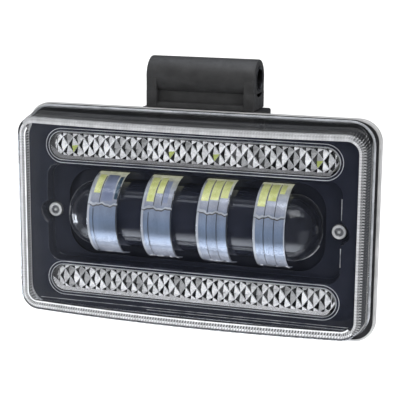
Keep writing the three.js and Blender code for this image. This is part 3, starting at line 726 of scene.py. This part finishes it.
def pivot_lug():
    bm = bmesh.new()
    end = lug_high.x
    pivot_tube(bm, [(LUG_BORE_R, end), (LUG_R - 0.5, end), (LUG_R - 0.15, end - 0.15),
                    (LUG_R, end - 0.5)], 96)
    foot = lug_low.z - PIVOT_Z
    for side in (-1, 1):
        x0, x1 = sorted((side * (end - LUG_POST), side * end))
        lug_box(bm, (x0, x1), (-LUG_R, foot), (LUG_R, -5.9), 0.45)
        for near, far in ((-LUG_R + 0.02, -6.2), (6.2, LUG_R - 0.02)):
            lug_box(bm, (x0 + 0.1, x1 - 0.1), (near, -8), (far, 0), 0.3)
    lug_box(bm, (-end + 2, end - 2), (-5.5, foot), (5.5, -6.2), 0.3)
    lug_box(bm, (-end + 0.5, end - 0.5), (-8, foot), (8, foot + 2.4), 0.5)
    for z in (1.2, -2.2, -5.8):
        turn_profile(bm, [(0, -0.5), (0.75, -0.4), (0.95, 0.3), (0.7, 0.9), (0, 1.1)],
                     (end - 1.4, PIVOT_Y + LUG_R - 0.6, PIVOT_Z + z), "y", 16)
    piece("lug_casting", bm, "lug", replaces=["pivot_lug"])


def pivot_sleeve():
    bm = bmesh.new()
    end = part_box("pivot_sleeve")[1].x / MM
    pivot_tube(bm, [(SLEEVE_BORE_R, end - 0.3), (SLEEVE_BORE_R + 0.25, end), (SLEEVE_R - 0.2, end),
                    (SLEEVE_R, end - 0.2)], 72)
    piece("steel_sleeve", bm, "dark_steel", replaces=["pivot_sleeve"], body="pivot")


# ---- bezel

DOME_R, DOME_Y = 14.5, -3.2
DOME_START, DOME_REACH = 46.0, 58.6
BEZEL_FRONT, BEZEL_BACK = local_box("inner_bezel")[0].y, -0.6
BEZEL_HALF_W, BEZEL_HALF_H, BEZEL_CORNER = 76.5, 43.8, 9.5
FIELD_HALF_W, FIELD_HALF_H, FIELD_CORNER = 67.7, 22.5, 6.0
FLOOR_Y = -3.0
BEZEL_WALL = 1.8
SCREW_X, SCREW_POCKET = 66.0, 5.2
DRL_Z = (local_box("drl_lens_upper")[0].z + local_box("drl_lens_upper")[1].z) / 2
DRL_HALF_L = local_box("drl_lens_upper")[1].x
DRL_HALF_H = local_box("drl_lens_upper")[1].z - DRL_Z


def field_outline(inset=0.0):
    """The recessed field: a rounded rectangle that bulges round each screw."""
    w, h, r = FIELD_HALF_W - inset, FIELD_HALF_H - inset, FIELD_CORNER - inset
    pocket = SCREW_POCKET - inset
    reach = math.sqrt(max(pocket ** 2 - (w - SCREW_X) ** 2, 0))
    start = math.asin(reach / pocket)
    right = [(SCREW_X + pocket * math.cos(start * i / 8), pocket * math.sin(start * i / 8)) for i in range(8)]
    right.append((w, reach))
    for i in range(11):
        a = math.pi / 2 * i / 10
        right.append((w - r + r * math.cos(a), h - r + r * math.sin(a)))
    top = right + [(-x, z) for x, z in reversed(right)]
    return top + [(x, -z) for x, z in reversed(top)][1:-1]


def stadium(grow, z=0.0, steps=16):
    """A light-bar window's outline, grown and raised."""
    return [(x, y + z) for x, y in
            outline(DRL_HALF_L + grow, DRL_HALF_H + grow, DRL_HALF_H + grow - 0.01, steps, 2)]


def inner_bezel():
    bm = bmesh.new()
    frame_outline = outline(BEZEL_HALF_W, BEZEL_HALF_H, BEZEL_CORNER)
    windows = [stadium(0.4, side * DRL_Z) for side in (-1, 1)]
    add_plate(bm, frame_outline, [field_outline(), *windows], BEZEL_FRONT, BEZEL_FRONT + BEZEL_WALL, 0.45)
    skirt = ((-0.05, BEZEL_FRONT + 0.6), (0.2, -7.0), (0.6, -1.2), (0.7, BEZEL_BACK))
    loft(bm, [ring(outline(BEZEL_HALF_W + grow, BEZEL_HALF_H + grow, BEZEL_CORNER + grow), depth)
              for grow, depth in skirt])
    wall = ((0.02, BEZEL_FRONT + 0.6), (0.3, -6.0), (0.55, FLOOR_Y - 0.5), (0.75, FLOOR_Y - 0.12),
            (1.1, FLOOR_Y))
    loft(bm, [ring(field_outline(inset), depth) for inset, depth in wall])
    window = outline(DOME_REACH + 1, 19.6, 12, 10, 2)
    add_plate(bm, field_outline(0.3), [window], FLOOR_Y, FLOOR_Y + BEZEL_WALL, 0.3)
    piece("bezel_moulding", bm, "gloss", 28, ["inner_bezel"])


def bead(bm, points, radius):
    """A thin round bead along a path of (x, y, z) points."""
    points = [Vector(point) for point in points]
    back = Vector((0, 1, 0))
    turns = [math.pi / 4 * k for k in range(8)]
    rows = []
    for before, point, after in zip(points[:1] + points, points, points[1:] + points[-1:]):
        across = (after - before).cross(back).normalized()
        rows.append([bm.verts.new(point + (across * math.cos(t) + back * math.sin(t)) * radius)
                     for t in turns])
    join_rows(bm, rows, closed=True)


def straight(start, end, steps):
    start, end = Vector(start), Vector(end)
    return [start.lerp(end, i / steps) for i in range(steps + 1)]


def edge_highlight_beads():
    """Pale beads that paint the highlights of sharp moulded edges: the recess's right end, the rim round each
    dome's foot and two lines along the bezel's lower edge."""
    bm = bmesh.new()
    x, y = FIELD_HALF_W + 0.02, BEZEL_FRONT + 0.12
    for low, high in ((6.2, FIELD_HALF_H - 7), (-FIELD_HALF_H + 8, -6.2)):
        bead(bm, straight((x, y, low), (x, y, high), 12), 0.17)
    for side, start, end, out in ((-1, -76, 4, 1.5), (1, -84, -30, 0.3)):
        reach, radius = DOME_REACH - DOME_START + out, DOME_R + out * 0.6
        turns = [math.radians(start + (end - start) * i / 24) for i in range(25)]
        path = [(side * (DOME_START + reach * math.cos(a)), DOME_Y + 0.4, radius * math.sin(a))
                for a in turns]
        bead(bm, path, 0.2)
    for z, start in ((-41.0, -72), (-42.1, -20)):
        bead(bm, straight((start, BEZEL_FRONT - 0.02, z), (72, BEZEL_FRONT - 0.02, z), 40), 0.13)
    piece("edge_highlight_beads", bm, "edge", 80)


WINDOW_BEADS = ((0.3, 0.17, 1), (0.85, 0.3, 0), (1.6, 0.17, 1))   # (distance, radius, slot)


def window_rims():
    """Fine raised beads round each light-bar window: one with a pale painted highlight on either side of a
    glossy one.
    """
    bm = bmesh.new()
    for side in (-1, 1):
        for grow, radius, slot in WINDOW_BEADS:
            rows = []
            for k in range(8):
                a = math.pi / 4 * k
                shape = stadium(grow + radius * math.cos(a), side * DRL_Z)
                rows.append(ring(shape, BEZEL_FRONT - 0.02 + radius * math.sin(a)))
            loft(bm, rows, slot=slot, close=True)
    piece("window_beads", bm, "gloss ridge", 60)


# ---- screws

SCREW_SHANK_R = 1.6
DRIVE_LOBES = 0.13   # how far the recess's six lobes stand out, as a share of its radius


def bezel_screw(word, side):
    """A pan-head screw along y with a six-lobed recess and a pin in it. Heights on the head run
    from 0 at its front to 1 at its seat."""
    bm = bmesh.new()
    low, high = local_box(f"bezel_screw_{word}")
    x, head = side * SCREW_X, high.z

    def level(share):
        return low.y + (FLOOR_Y - 0.3 - low.y) * share

    def circle(radius, depth, lobes=0.0):
        points = []
        for i in range(48):
            a = 2 * math.pi * i / 48
            reach = radius * (1 + lobes * math.cos(6 * a))
            points.append((x + reach * math.cos(a), depth, reach * math.sin(a)))
        return points

    def head_rings(*steps, lobes=0.0):
        return [circle(head * share, level(height), lobes) for share, height in steps]

    # The head's side and its recess are darker copies of the bright steel on its top ring: painted shade.
    shank = [circle(SCREW_SHANK_R, high.y), circle(SCREW_SHANK_R, level(1))]
    rows = loft(bm, shank + head_rings((1, 1), (1, 0.65), (0.95, 0.12)))
    cap(bm, rows[0])
    loft(bm, head_rings((0.95, 0.12), (0.88, 0), (0.66, 0), (0.6, 0.08)), slot=1)
    recess = head_rings((0.6, 0.08)) + head_rings((0.5, 0.12), (0.46, 0.6), lobes=DRIVE_LOBES)
    cap(bm, loft(bm, recess, slot=2)[-1], 2)
    pin = [(head * share, level(height)) for share, height in ((0.2, 0.6), (0.2, 0.15), (0.14, 0.08))]
    cap(bm, turn_profile(bm, pin, (x, 0, 0), "y", 16, slot=1)[-1], 1)
    piece(f"bezel_screw_head_{word}", bm, "steel_side steel steel_deep", 25, [f"bezel_screw_{word}"])


# ---- light bars

PRISM_PITCH, PRISM_RISE = 5.1, 3.5
PRISM_HALF = PRISM_PITCH / 2
PRISM_BASE, PRISM_PEAK, BORDER_FRONT = -6.2, -7.9, -8.9
PRISM_FIELD = (DRL_HALF_L - 1.3, DRL_HALF_H - 1.1)
SEAM_WIDTHS = (0.04, 0.1, 0.03, 0.05)
# Seam tones: a painted highlight line and a painted shade line.
PAINTED_SEAM_HIGHLIGHT, PAINTED_SEAM_SHADE = (0.8, 0.81, 0.84, 1), (0.2, 0.21, 0.22, 1)
LED_TONE = (0.5, 0.56, 0.2, 1)


def prism_field(word, z_mid, seed):
    """Rhombic pyramids with fine seams, clipped to the bar's stadium."""
    bm = toned_mesh()
    rnd = random.Random(seed)
    leds = [local_box(f"drl_led_upper_{k}")[0].x + 1.75 for k in range(1, 7)]
    count = int(PRISM_FIELD[0] / PRISM_PITCH) + 2
    for row in range(-3, 4):
        for col in range(-count, count + 1):
            x, z = col * PRISM_PITCH + PRISM_HALF * (row % 2), row * PRISM_RISE
            corners = ((x, z + PRISM_RISE), (x - PRISM_HALF, z), (x, z - PRISM_RISE), (x + PRISM_HALF, z))
            corners = [clip_to_field(*corner) for corner in corners]
            middle = clip_to_field(x, z)
            if area(corners) < 0.6:
                continue
            depth = PRISM_PEAK if middle == (x, z) else PRISM_BASE - 0.4
            near_led = min(abs(x - led) for led in leds) < 2.0 and abs(z) < 3.0 and z_mid > 0
            dark, light = prism_tones(rnd)
            for k, (a, b) in enumerate(zip(corners, corners[1:] + corners[:1])):
                if area([a, b, middle]) < 0.02:
                    continue
                level = dark * rnd.uniform(0.8, 1.2) if k < 2 else light * rnd.uniform(0.88, 1.0)
                tone = LED_TONE if near_led and k == 2 else (level, level * 1.005, level * 1.03, 1)
                prism_facet(bm, k, (a, b, middle), depth, z_mid, tone)
    piece(f"prism_field_{word}", bm, "facets", 5)


def prism_facet(bm, k, triangle, depth, z_mid, tone):
    """Facet k of a prism: a seam along its base edge, where it meets its neighbour, and the rest. The seam is
    a painted highlight on the two left facets and painted shade on the two right ones.
    """
    def at(point, share):
        x, z = (p + (m - p) * share for p, m in zip(point, middle))
        return (x, PRISM_BASE + (depth - PRISM_BASE) * share, z + z_mid)

    a, b, middle = triangle
    seam = SEAM_WIDTHS[k]
    toned_face(bm, [at(a, 0), at(b, 0), at(b, seam), at(a, seam)], PAINTED_SEAM_HIGHLIGHT if k < 2 else PAINTED_SEAM_SHADE)
    toned_face(bm, [at(a, seam), at(b, seam), at(middle, 1)], tone)


def prism_tones(rnd):
    """Painted light and shade of one prism: its left half is painted dark where the dark bezel would show,
    and its right half carries a painted reflection of the light.
    """
    dark = rnd.choice((0.006, 0.01, 0.015, 0.03, 0.08)) * rnd.uniform(0.8, 1.2)
    light = rnd.choice((0.55, 0.8, 0.93, 0.97)) * rnd.uniform(0.92, 1.0)
    return dark, light


def clip_to_field(x, z):
    """The point itself, or the nearest one on the edge of the prisms' stadium."""
    half_l, half_h = PRISM_FIELD
    spine = min(max(x, half_h - half_l), half_l - half_h)
    dx, dz = x - spine, z
    reach = math.hypot(dx, dz)
    if reach <= half_h:
        return (x, z)
    return (spine + dx * half_h / reach, dz * half_h / reach)


def area(points):
    total = 0.0
    for (x0, z0), (x1, z1) in zip(points, points[1:] + points[:1]):
        total += x0 * z1 - x1 * z0
    return abs(total) / 2


def prism_border(word, z_mid):
    """A fringe of small facets round the prisms, with a painted highlight along its lower edge."""
    bm = toned_mesh()
    outer, inner = (resample(stadium(grow, z_mid, 24), 0.9) for grow in (-0.25, -1.25))
    count = min(len(outer), len(inner))
    share = len(inner) / count
    painted_lit_low_tones = (0.3, 0.85) if z_mid < 0 else (0.16, 0.45)
    for i in range(count):
        j = (i + 1) % count
        front = [(x, BORDER_FRONT, z) for x, z, _, _ in (outer[i], outer[j])]
        back = [(x, PRISM_BASE, z) for x, z, _, _ in (inner[int(k * share) % len(inner)] for k in (j, i))]
        level = (painted_lit_low_tones if outer[i][1] < z_mid else (0.05, 0.16))[i % 2]
        toned_face(bm, front + back, (level, level, level * 1.03, 1))
    piece(f"prism_border_{word}", bm, "facets", 5)


def light_bar(word, side, seed):
    z_mid = side * DRL_Z
    prism_field(word, z_mid, seed)
    prism_border(word, z_mid)
    bm = bmesh.new()
    front = BEZEL_FRONT + 0.25
    cover = ((-0.02, -4.0), (-0.02, front + 0.3), (-0.3, front), (-0.9, front), (-1.15, front + 0.35))
    cap(bm, loft(bm, [ring(stadium(grow, z_mid), depth) for grow, depth in cover])[-1])
    piece(f"light_bar_cover_{word}", bm, "cover", 40, [f"drl_lens_{word}"])


# ---- projector

band_boxes = [local_box(f"projector_lens_{i}") for i in range(1, 5)]
BAND_X = [(low.x + high.x) / 2 for low, high in band_boxes]
BAND_HALF = (band_boxes[0][1].x - band_boxes[0][0].x) / 2
BAND_R = band_boxes[0][1].z
AXIS_Y = band_boxes[0][0].y + BAND_R
BAND_EDGE = 0.9
TRIM_R = 15.5


def on_arc(x, radius, degrees):
    """A point about the projector's axis, at an angle above straight ahead."""
    a = math.radians(degrees)
    return (x, AXIS_Y - radius * math.cos(a), radius * math.sin(a))


def arc_strip(bm, x0, x1, radius, start, end, steps, slot=0):
    """A strip of a cylinder about the projector's axis, between two angles."""
    turns = [start + (end - start) * i / steps for i in range(steps + 1)]
    join_rows(bm, [[bm.verts.new(on_arc(x, radius, turn)) for x in (x0, x1)] for turn in turns], (slot,))


def band_section():
    """Half section of a band across its width, as (x, radius) pairs with rounded shoulders."""
    shoulder = [(-BAND_HALF, BAND_R - 2.8)]
    for i in range(6):
        a = math.pi / 2 * (1 - i / 5)
        shoulder.append((-BAND_HALF + BAND_EDGE * (1 - math.sin(a)), BAND_R - BAND_EDGE * (1 - math.cos(a))))
    return shoulder + [(-x, radius) for x, radius in reversed(shoulder)]


def projector_band(index, x_mid):
    bm = bmesh.new()
    turns = [-90 + 180 * i / 64 for i in range(65)]
    join_rows(bm, [[bm.verts.new(on_arc(x_mid + x, r, turn)) for x, r in band_section()] for turn in turns])
    piece(f"band_lens_{index}", bm, "band", 40, [f"projector_lens_{index}"])
    band_core(index, x_mid)


def band_core_material():
    """The metallised bowl behind a band: sky-grey above, blue-grey below, with a painted reflection paler at
    its foot and a painted glow.
    """
    n = Nodes("band_core")
    height = n.add("ShaderNodeSeparateXYZ", Vector=n.place).outputs["Z"]
    share = n.spread(height, 0, 1, MID_Z - BAND_R * MM, MID_Z + BAND_R * MM)
    colour = n.ramp(
        share,
        (0.0, (0.30, 0.31, 0.34)),
        (0.12, (0.55, 0.58, 0.66)),
        (0.3, (0.33, 0.40, 0.52)),
        (0.5, (0.22, 0.29, 0.41)),
        (0.66, (0.30, 0.36, 0.47)),
        (0.74, (0.45, 0.47, 0.55)),
        (1.0, (0.28, 0.31, 0.40)),
    )
    colour = n.tint(colour, n.spread(n.noise(260, 3.0, 0.6, (1, 0.15, 0.15)), 0.82, 1.12))
    # Painted glow: emission that lifts the bowl's top and foot, which lie in shade under the bezel.
    painted_glow = n.ramp(
        share,
        (0.0, (0.13, 0.14, 0.17)),
        (0.09, (0.12, 0.13, 0.16)),
        (0.2, (0.02, 0.02, 0.025)),
        (0.4, (0.0, 0.0, 0.0)),
        (0.5, (0.06, 0.075, 0.11)),
        (0.7, (0.09, 0.1, 0.13)),
        (0.86, (0.2, 0.21, 0.22)),
        (0.94, (0.32, 0.32, 0.24)),
        (1.0, (0.5, 0.5, 0.34)),
    )
    painted_glow = n.tint(painted_glow, n.spread(n.noise(180, 4.0, 0.7), 0.55, 1.25))
    return n.finish(n.surface(colour, 0.25, n.bump(n.noise(400), 0.3, 0.00008), Metallic=0.35,
                              Emission_Color=painted_glow, Emission_Strength=1.0))


finish["core"] = band_core_material()


# What shows through each band above the cut-off: (from, to) across its width, angles and slot.
# Slots: 1 phosphor, 2 dark divider, 3 painted highlight strip, 4 sky-blue facet, 5 deep teal facet.
BAND_PATCHES = {
    1: [(0.13, 0.35, 38, 74, 1), (0.42, 0.8, 27, 74, 4), (0.85, 0.97, 30, 70, 5)],
    2: [(0.12, 0.36, 31, 76, 1), (0.41, 0.62, 44, 76, 1), (0.66, 0.82, 30, 68, 4)],
    3: [(0.05, 0.31, 38, 80, 1), (0.36, 0.63, 40, 80, 1), (0.68, 0.92, 44, 80, 1)],
    4: [(0.05, 0.31, 36, 80, 1), (0.36, 0.62, 45, 80, 1), (0.68, 0.84, 58, 80, 1)],
}
BAND_LINES = {1: [(0.385, 24, 70), (0.2, -60, 16)], 2: [(0.385, 26, 70), (0.64, 26, 70), (0.24, -60, 16)],
              3: [(0.335, -58, 80), (0.655, -58, 80)], 4: [(0.335, -58, 80), (0.655, -58, 80)]}


def band_core(index, x_mid):
    """What is seen through a band: bowl, LED patches, dividers and the wavy cut-off ledge."""
    def across(share):
        return left + width * share

    bm = bmesh.new()
    half = BAND_HALF - 0.45
    left, width = x_mid - half, 2 * half
    arc_strip(bm, left, across(1), BAND_R - 0.6, -88, 88, 48, 0)
    for start, end, low, high, slot in BAND_PATCHES[index]:
        arc_strip(bm, across(start), across(end), BAND_R - 0.5, low, high, 12, slot)
    for share, low, high in BAND_LINES[index]:
        arc_strip(bm, across(share) - 0.14, across(share) + 0.14, BAND_R - 0.45, low, high, 24, 2)
    # A painted highlight strip along the band's left edge; along its right edge painted shade, or a painted
    # highlight on band 4.
    arc_strip(bm, across(0.0), across(0.07), BAND_R - 0.48, -80, 78, 36, 3)
    arc_strip(bm, across(0.965), across(1.0), BAND_R - 0.48, -70, 50, 30, 3 if index == 4 else 2)
    piece(f"band_core_{index}", bm, "core phosphor epoxy pale_edge sky teal", 40)
    cutoff_ledge(index, x_mid, half)
    band_foot(index, left, width)


def cutoff_ledge(index, x_mid, half):
    """A wavy moulded ledge between the LED window and the bowl, seen as a painted highlight line above a
    painted shade line.
    """
    rnd = random.Random(40 + index)
    bm = bmesh.new()
    count = 36
    rows = []
    phase = rnd.uniform(0, 6.28)
    for i in range(count + 1):
        x = x_mid - half + 2 * half * i / count
        wave = 1.3 * math.sin(i * 0.33 + phase) + 0.5 * math.sin(i * 0.9 + 2 * phase) + rnd.uniform(-0.2, 0.2)
        top = 24.9 if i < count * 0.3 else 23.62
        profile = ((19.5, 0.0), (21, 0.25), (22.5, 0.3), (top, 0.0))
        rows.append([bm.verts.new(on_arc(x, BAND_R - 0.58 + lift, turn + wave)) for turn, lift in profile])
    join_rows(bm, rows, (1, 0, 0))
    piece(f"cutoff_ledge_{index}", bm, "pale_edge smoke", 60)


def band_foot(index, left, width):
    """The band's foot breaks up into small facets where it turns under, painted as random glints and shade.
    """
    rnd = random.Random(70 + index)
    bm = toned_mesh()
    for low, high, cells in ((-80, -70, 9), (-70, -63, 14), (-63, -59, 11)):
        for i in range(cells):
            if rnd.random() < 0.28:
                continue
            x0, x1 = left + width * i / cells, left + width * (i + rnd.uniform(0.6, 1.0)) / cells
            a0, a1 = (turn + rnd.uniform(-1.5, 1.5) for turn in (low, high))
            level = rnd.choice((0.06, 0.3, 0.6, 0.9, 0.95))
            points = [on_arc(x, BAND_R - 0.4, turn) for x, turn in ((x0, a0), (x1, a0), (x1, a1), (x0, a1))]
            toned_face(bm, points, (level, level, level * 1.04, 1))
    piece(f"band_foot_{index}", bm, "facets", 10)


def dome_material():
    """The projector's domed ends: the same black plastic with a soft bloom towards its limb."""
    n = Nodes("dome_gloss")
    colour = n.mix(n.spread(n.noise(60), 0, 1), (0.018, 0.02, 0.028), (0.028, 0.03, 0.042))
    gloss = n.spread(n.noise(45), 0.06, 0.12)
    return n.finish(n.surface(colour, gloss, n.bump(n.noise(70, 1.0), 0.1, 0.0001), Coat_Weight=0.5,
                              Coat_Roughness=0.03, Sheen_Weight=0.55, Sheen_Roughness=0.22,
                              Sheen_Tint=(0.88, 0.92, 1.0)))


finish["dome"] = dome_material()


def projector_trim():
    bm = bmesh.new()
    span = DOME_REACH - DOME_START
    for side in (-1, 1):
        turns = [math.pi / 2 * i / 20 for i in range(21)]
        dome = [(DOME_R * math.sin(t), side * (DOME_START + span * math.cos(t))) for t in turns]
        dome.append((DOME_R, side * (DOME_START - 1.5)))
        turn_profile(bm, dome, (0, DOME_Y, 0), "x", 96, slot=1, arc=(65, 295))
    turn_profile(bm, [(TRIM_R, -45), (TRIM_R, 45)], (0, AXIS_Y, 0), "x", 96, arc=(90, 270))
    add_plate(bm, outline(60.8, 21, 4, 6, 2), [], 0.8, 2.4, 0.3)
    piece("trim_bar", bm, "gloss dome", 40, ["projector_trim"])


# ---- inner pieces that stay as CAD

def paint_cad():
    """Finishes for the CAD nodes that are shown as they are."""
    finishes = {
        "led_board": "board", "thermal_pad": "pad", "drl_board": "board", "drl_led": "phosphor",
        "led_module": "phosphor", "reflector": "mirror", "board_screw": "steel", "lug_screw": "steel",
        "driver_screw": "steel", "driver_board": "green", "driver_inductor": "epoxy",
        "driver_capacitor": "epoxy", "driver_controller": "epoxy", "driver_terminal_block": "epoxy",
        "cable_grommet": "rubber", "breather_vent": "rubber",
    }
    for name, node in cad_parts.items():
        for start, key in finishes.items():
            if name.startswith(start):
                node.data.materials.clear()
                node.data.materials.append(finish[key])


# ---- stage, lights and camera

CAMERA_AZIMUTH, CAMERA_ELEVATION, CAMERA_ROLL = 17.55, 12.58, 0.4
CAMERA_DISTANCE = 0.5665
CAMERA_TARGET = Vector((0.0019, -0.0126, -0.05368))
CAMERA_LENS = 114.53


def place_camera():
    data = bpy.data.cameras.new("camera")
    data.lens, data.sensor_width, data.clip_start = CAMERA_LENS, 36.0, 0.01
    camera = new_object("camera", data)
    a, e = math.radians(CAMERA_AZIMUTH), math.radians(CAMERA_ELEVATION)
    back = Vector((math.sin(a) * math.cos(e), -math.cos(a) * math.cos(e), math.sin(e)))
    camera.location = CAMERA_TARGET + back * CAMERA_DISTANCE
    turn = back.to_track_quat("Z", "Y").to_matrix().to_4x4()
    roll = Matrix.Rotation(math.radians(CAMERA_ROLL), 4, "Z")
    camera.matrix_world = Matrix.Translation(camera.location) @ turn @ roll
    bpy.context.scene.camera = camera


def top_softbox():
    """A soft panel above and in front, aimed at the lamp."""
    place, aim = Vector((0.25, -0.5, 0.9)), Vector((0, 0, -0.05))
    data = bpy.data.lights.new("top_softbox", "AREA")
    data.shape, data.size, data.size_y, data.energy = "RECTANGLE", 0.8, 0.5, 2.5
    light = new_object("top_softbox", data)
    light.location = place
    light.rotation_euler = (place - aim).to_track_quat("Z", "Y").to_euler()


PANEL_LIGHT, TABLE_LIGHT, UNDER_LIGHT, SIDE_LAMP, ROOM_LIGHT = 1.9, 0.65, 5.0, 22.0, 0.035


def studio_world():
    """An even white tent for soft light. What gloss mirrors is a white table round the lamp with a dim
    room in front of it, a dim room above, a soft panel overhead and a small lamp far to the left."""
    n = Nodes("studio", world=True)
    x, y, z = tuple(n.add("ShaderNodeSeparateXYZ", Vector=n.place).outputs)
    level = n.math("SQRT", n.math("ADD", n.times(x, x), n.times(y, y)))
    level = n.math("MAXIMUM", level, 0.001)
    side, depth = n.math("DIVIDE", x, level), n.math("DIVIDE", y, level)
    lean = n.math("ADD", n.times(x, 0.156), n.times(y, 0.344))
    panel = n.times(n.step(n.math("ADD", z, lean), 0.645, 0.675), PANEL_LIGHT, n.step(y, 0.55, 0.35))
    under = n.times(n.step(z, -0.58, -0.95), UNDER_LIGHT)
    behind = n.math("SUBTRACT", 1.0, n.times(n.step(depth, 0.5, 0.85), 0.8))
    table = n.times(n.step(z, 0.03, -0.12), n.step(depth, -0.9, -0.6), behind, TABLE_LIGHT)
    lamp = n.times(n.step(side, -0.93, -0.97), n.step(z, -0.5, -0.4), n.step(z, -0.1, -0.2), SIDE_LAMP)
    brightest = panel
    for other in (under, table, lamp):
        brightest = n.math("MAXIMUM", brightest, other)
    mirrored = n.math("ADD", ROOM_LIGHT, brightest)
    glossy = n.tree.nodes.new("ShaderNodeLightPath").outputs["Is Glossy Ray"]
    strength = n.tree.nodes.new("ShaderNodeMix")
    n.put(strength.inputs[0], glossy)
    n.put(strength.inputs[2], 1.0)
    n.put(strength.inputs[3], mirrored)
    tint = n.mix(glossy, (1.0, 1.0, 1.0), (0.86, 0.91, 1.0))
    background = n.add("ShaderNodeBackground", Color=tint, Strength=strength.outputs[0])
    bpy.context.scene.world = n.finish(background.outputs[0])


def studio():
    studio_world()
    bpy.context.scene.view_settings.view_transform = "Standard"
    n = Nodes("pale_floor")
    colour = n.mix(n.spread(n.noise(3), 0, 1), (0.9, 0.9, 0.9), (0.93, 0.93, 0.93))
    floor_finish = n.finish(n.surface(colour, 0.7, None, Emission_Color=(1, 1, 1), Emission_Strength=0.35))
    bm = bmesh.new()
    bmesh.ops.create_grid(bm, x_segments=1, y_segments=1, size=6)
    mesh = bpy.data.meshes.new("floor")
    bm.to_mesh(mesh)
    bm.free()
    mesh.materials.append(floor_finish)
    floor = new_object("floor", mesh)
    floor.location.z = cad_box[0].z - 0.12
    floor.visible_glossy = False
    top_softbox()


# ---- assembly

place_camera()
studio()
front_lens()
lens_edge_frame()
lens_rim_light()
lens_ribs()
lens_gasket()
rear_housing()
pivot_lug()
pivot_sleeve()
inner_bezel()
window_rims()
edge_highlight_beads()
bezel_screw("left", -1)
bezel_screw("right", 1)
light_bar("upper", 1, 3)
light_bar("lower", -1, 8)
for number, middle in enumerate(BAND_X, 1):
    projector_band(number, middle)
projector_trim()
paint_cad()
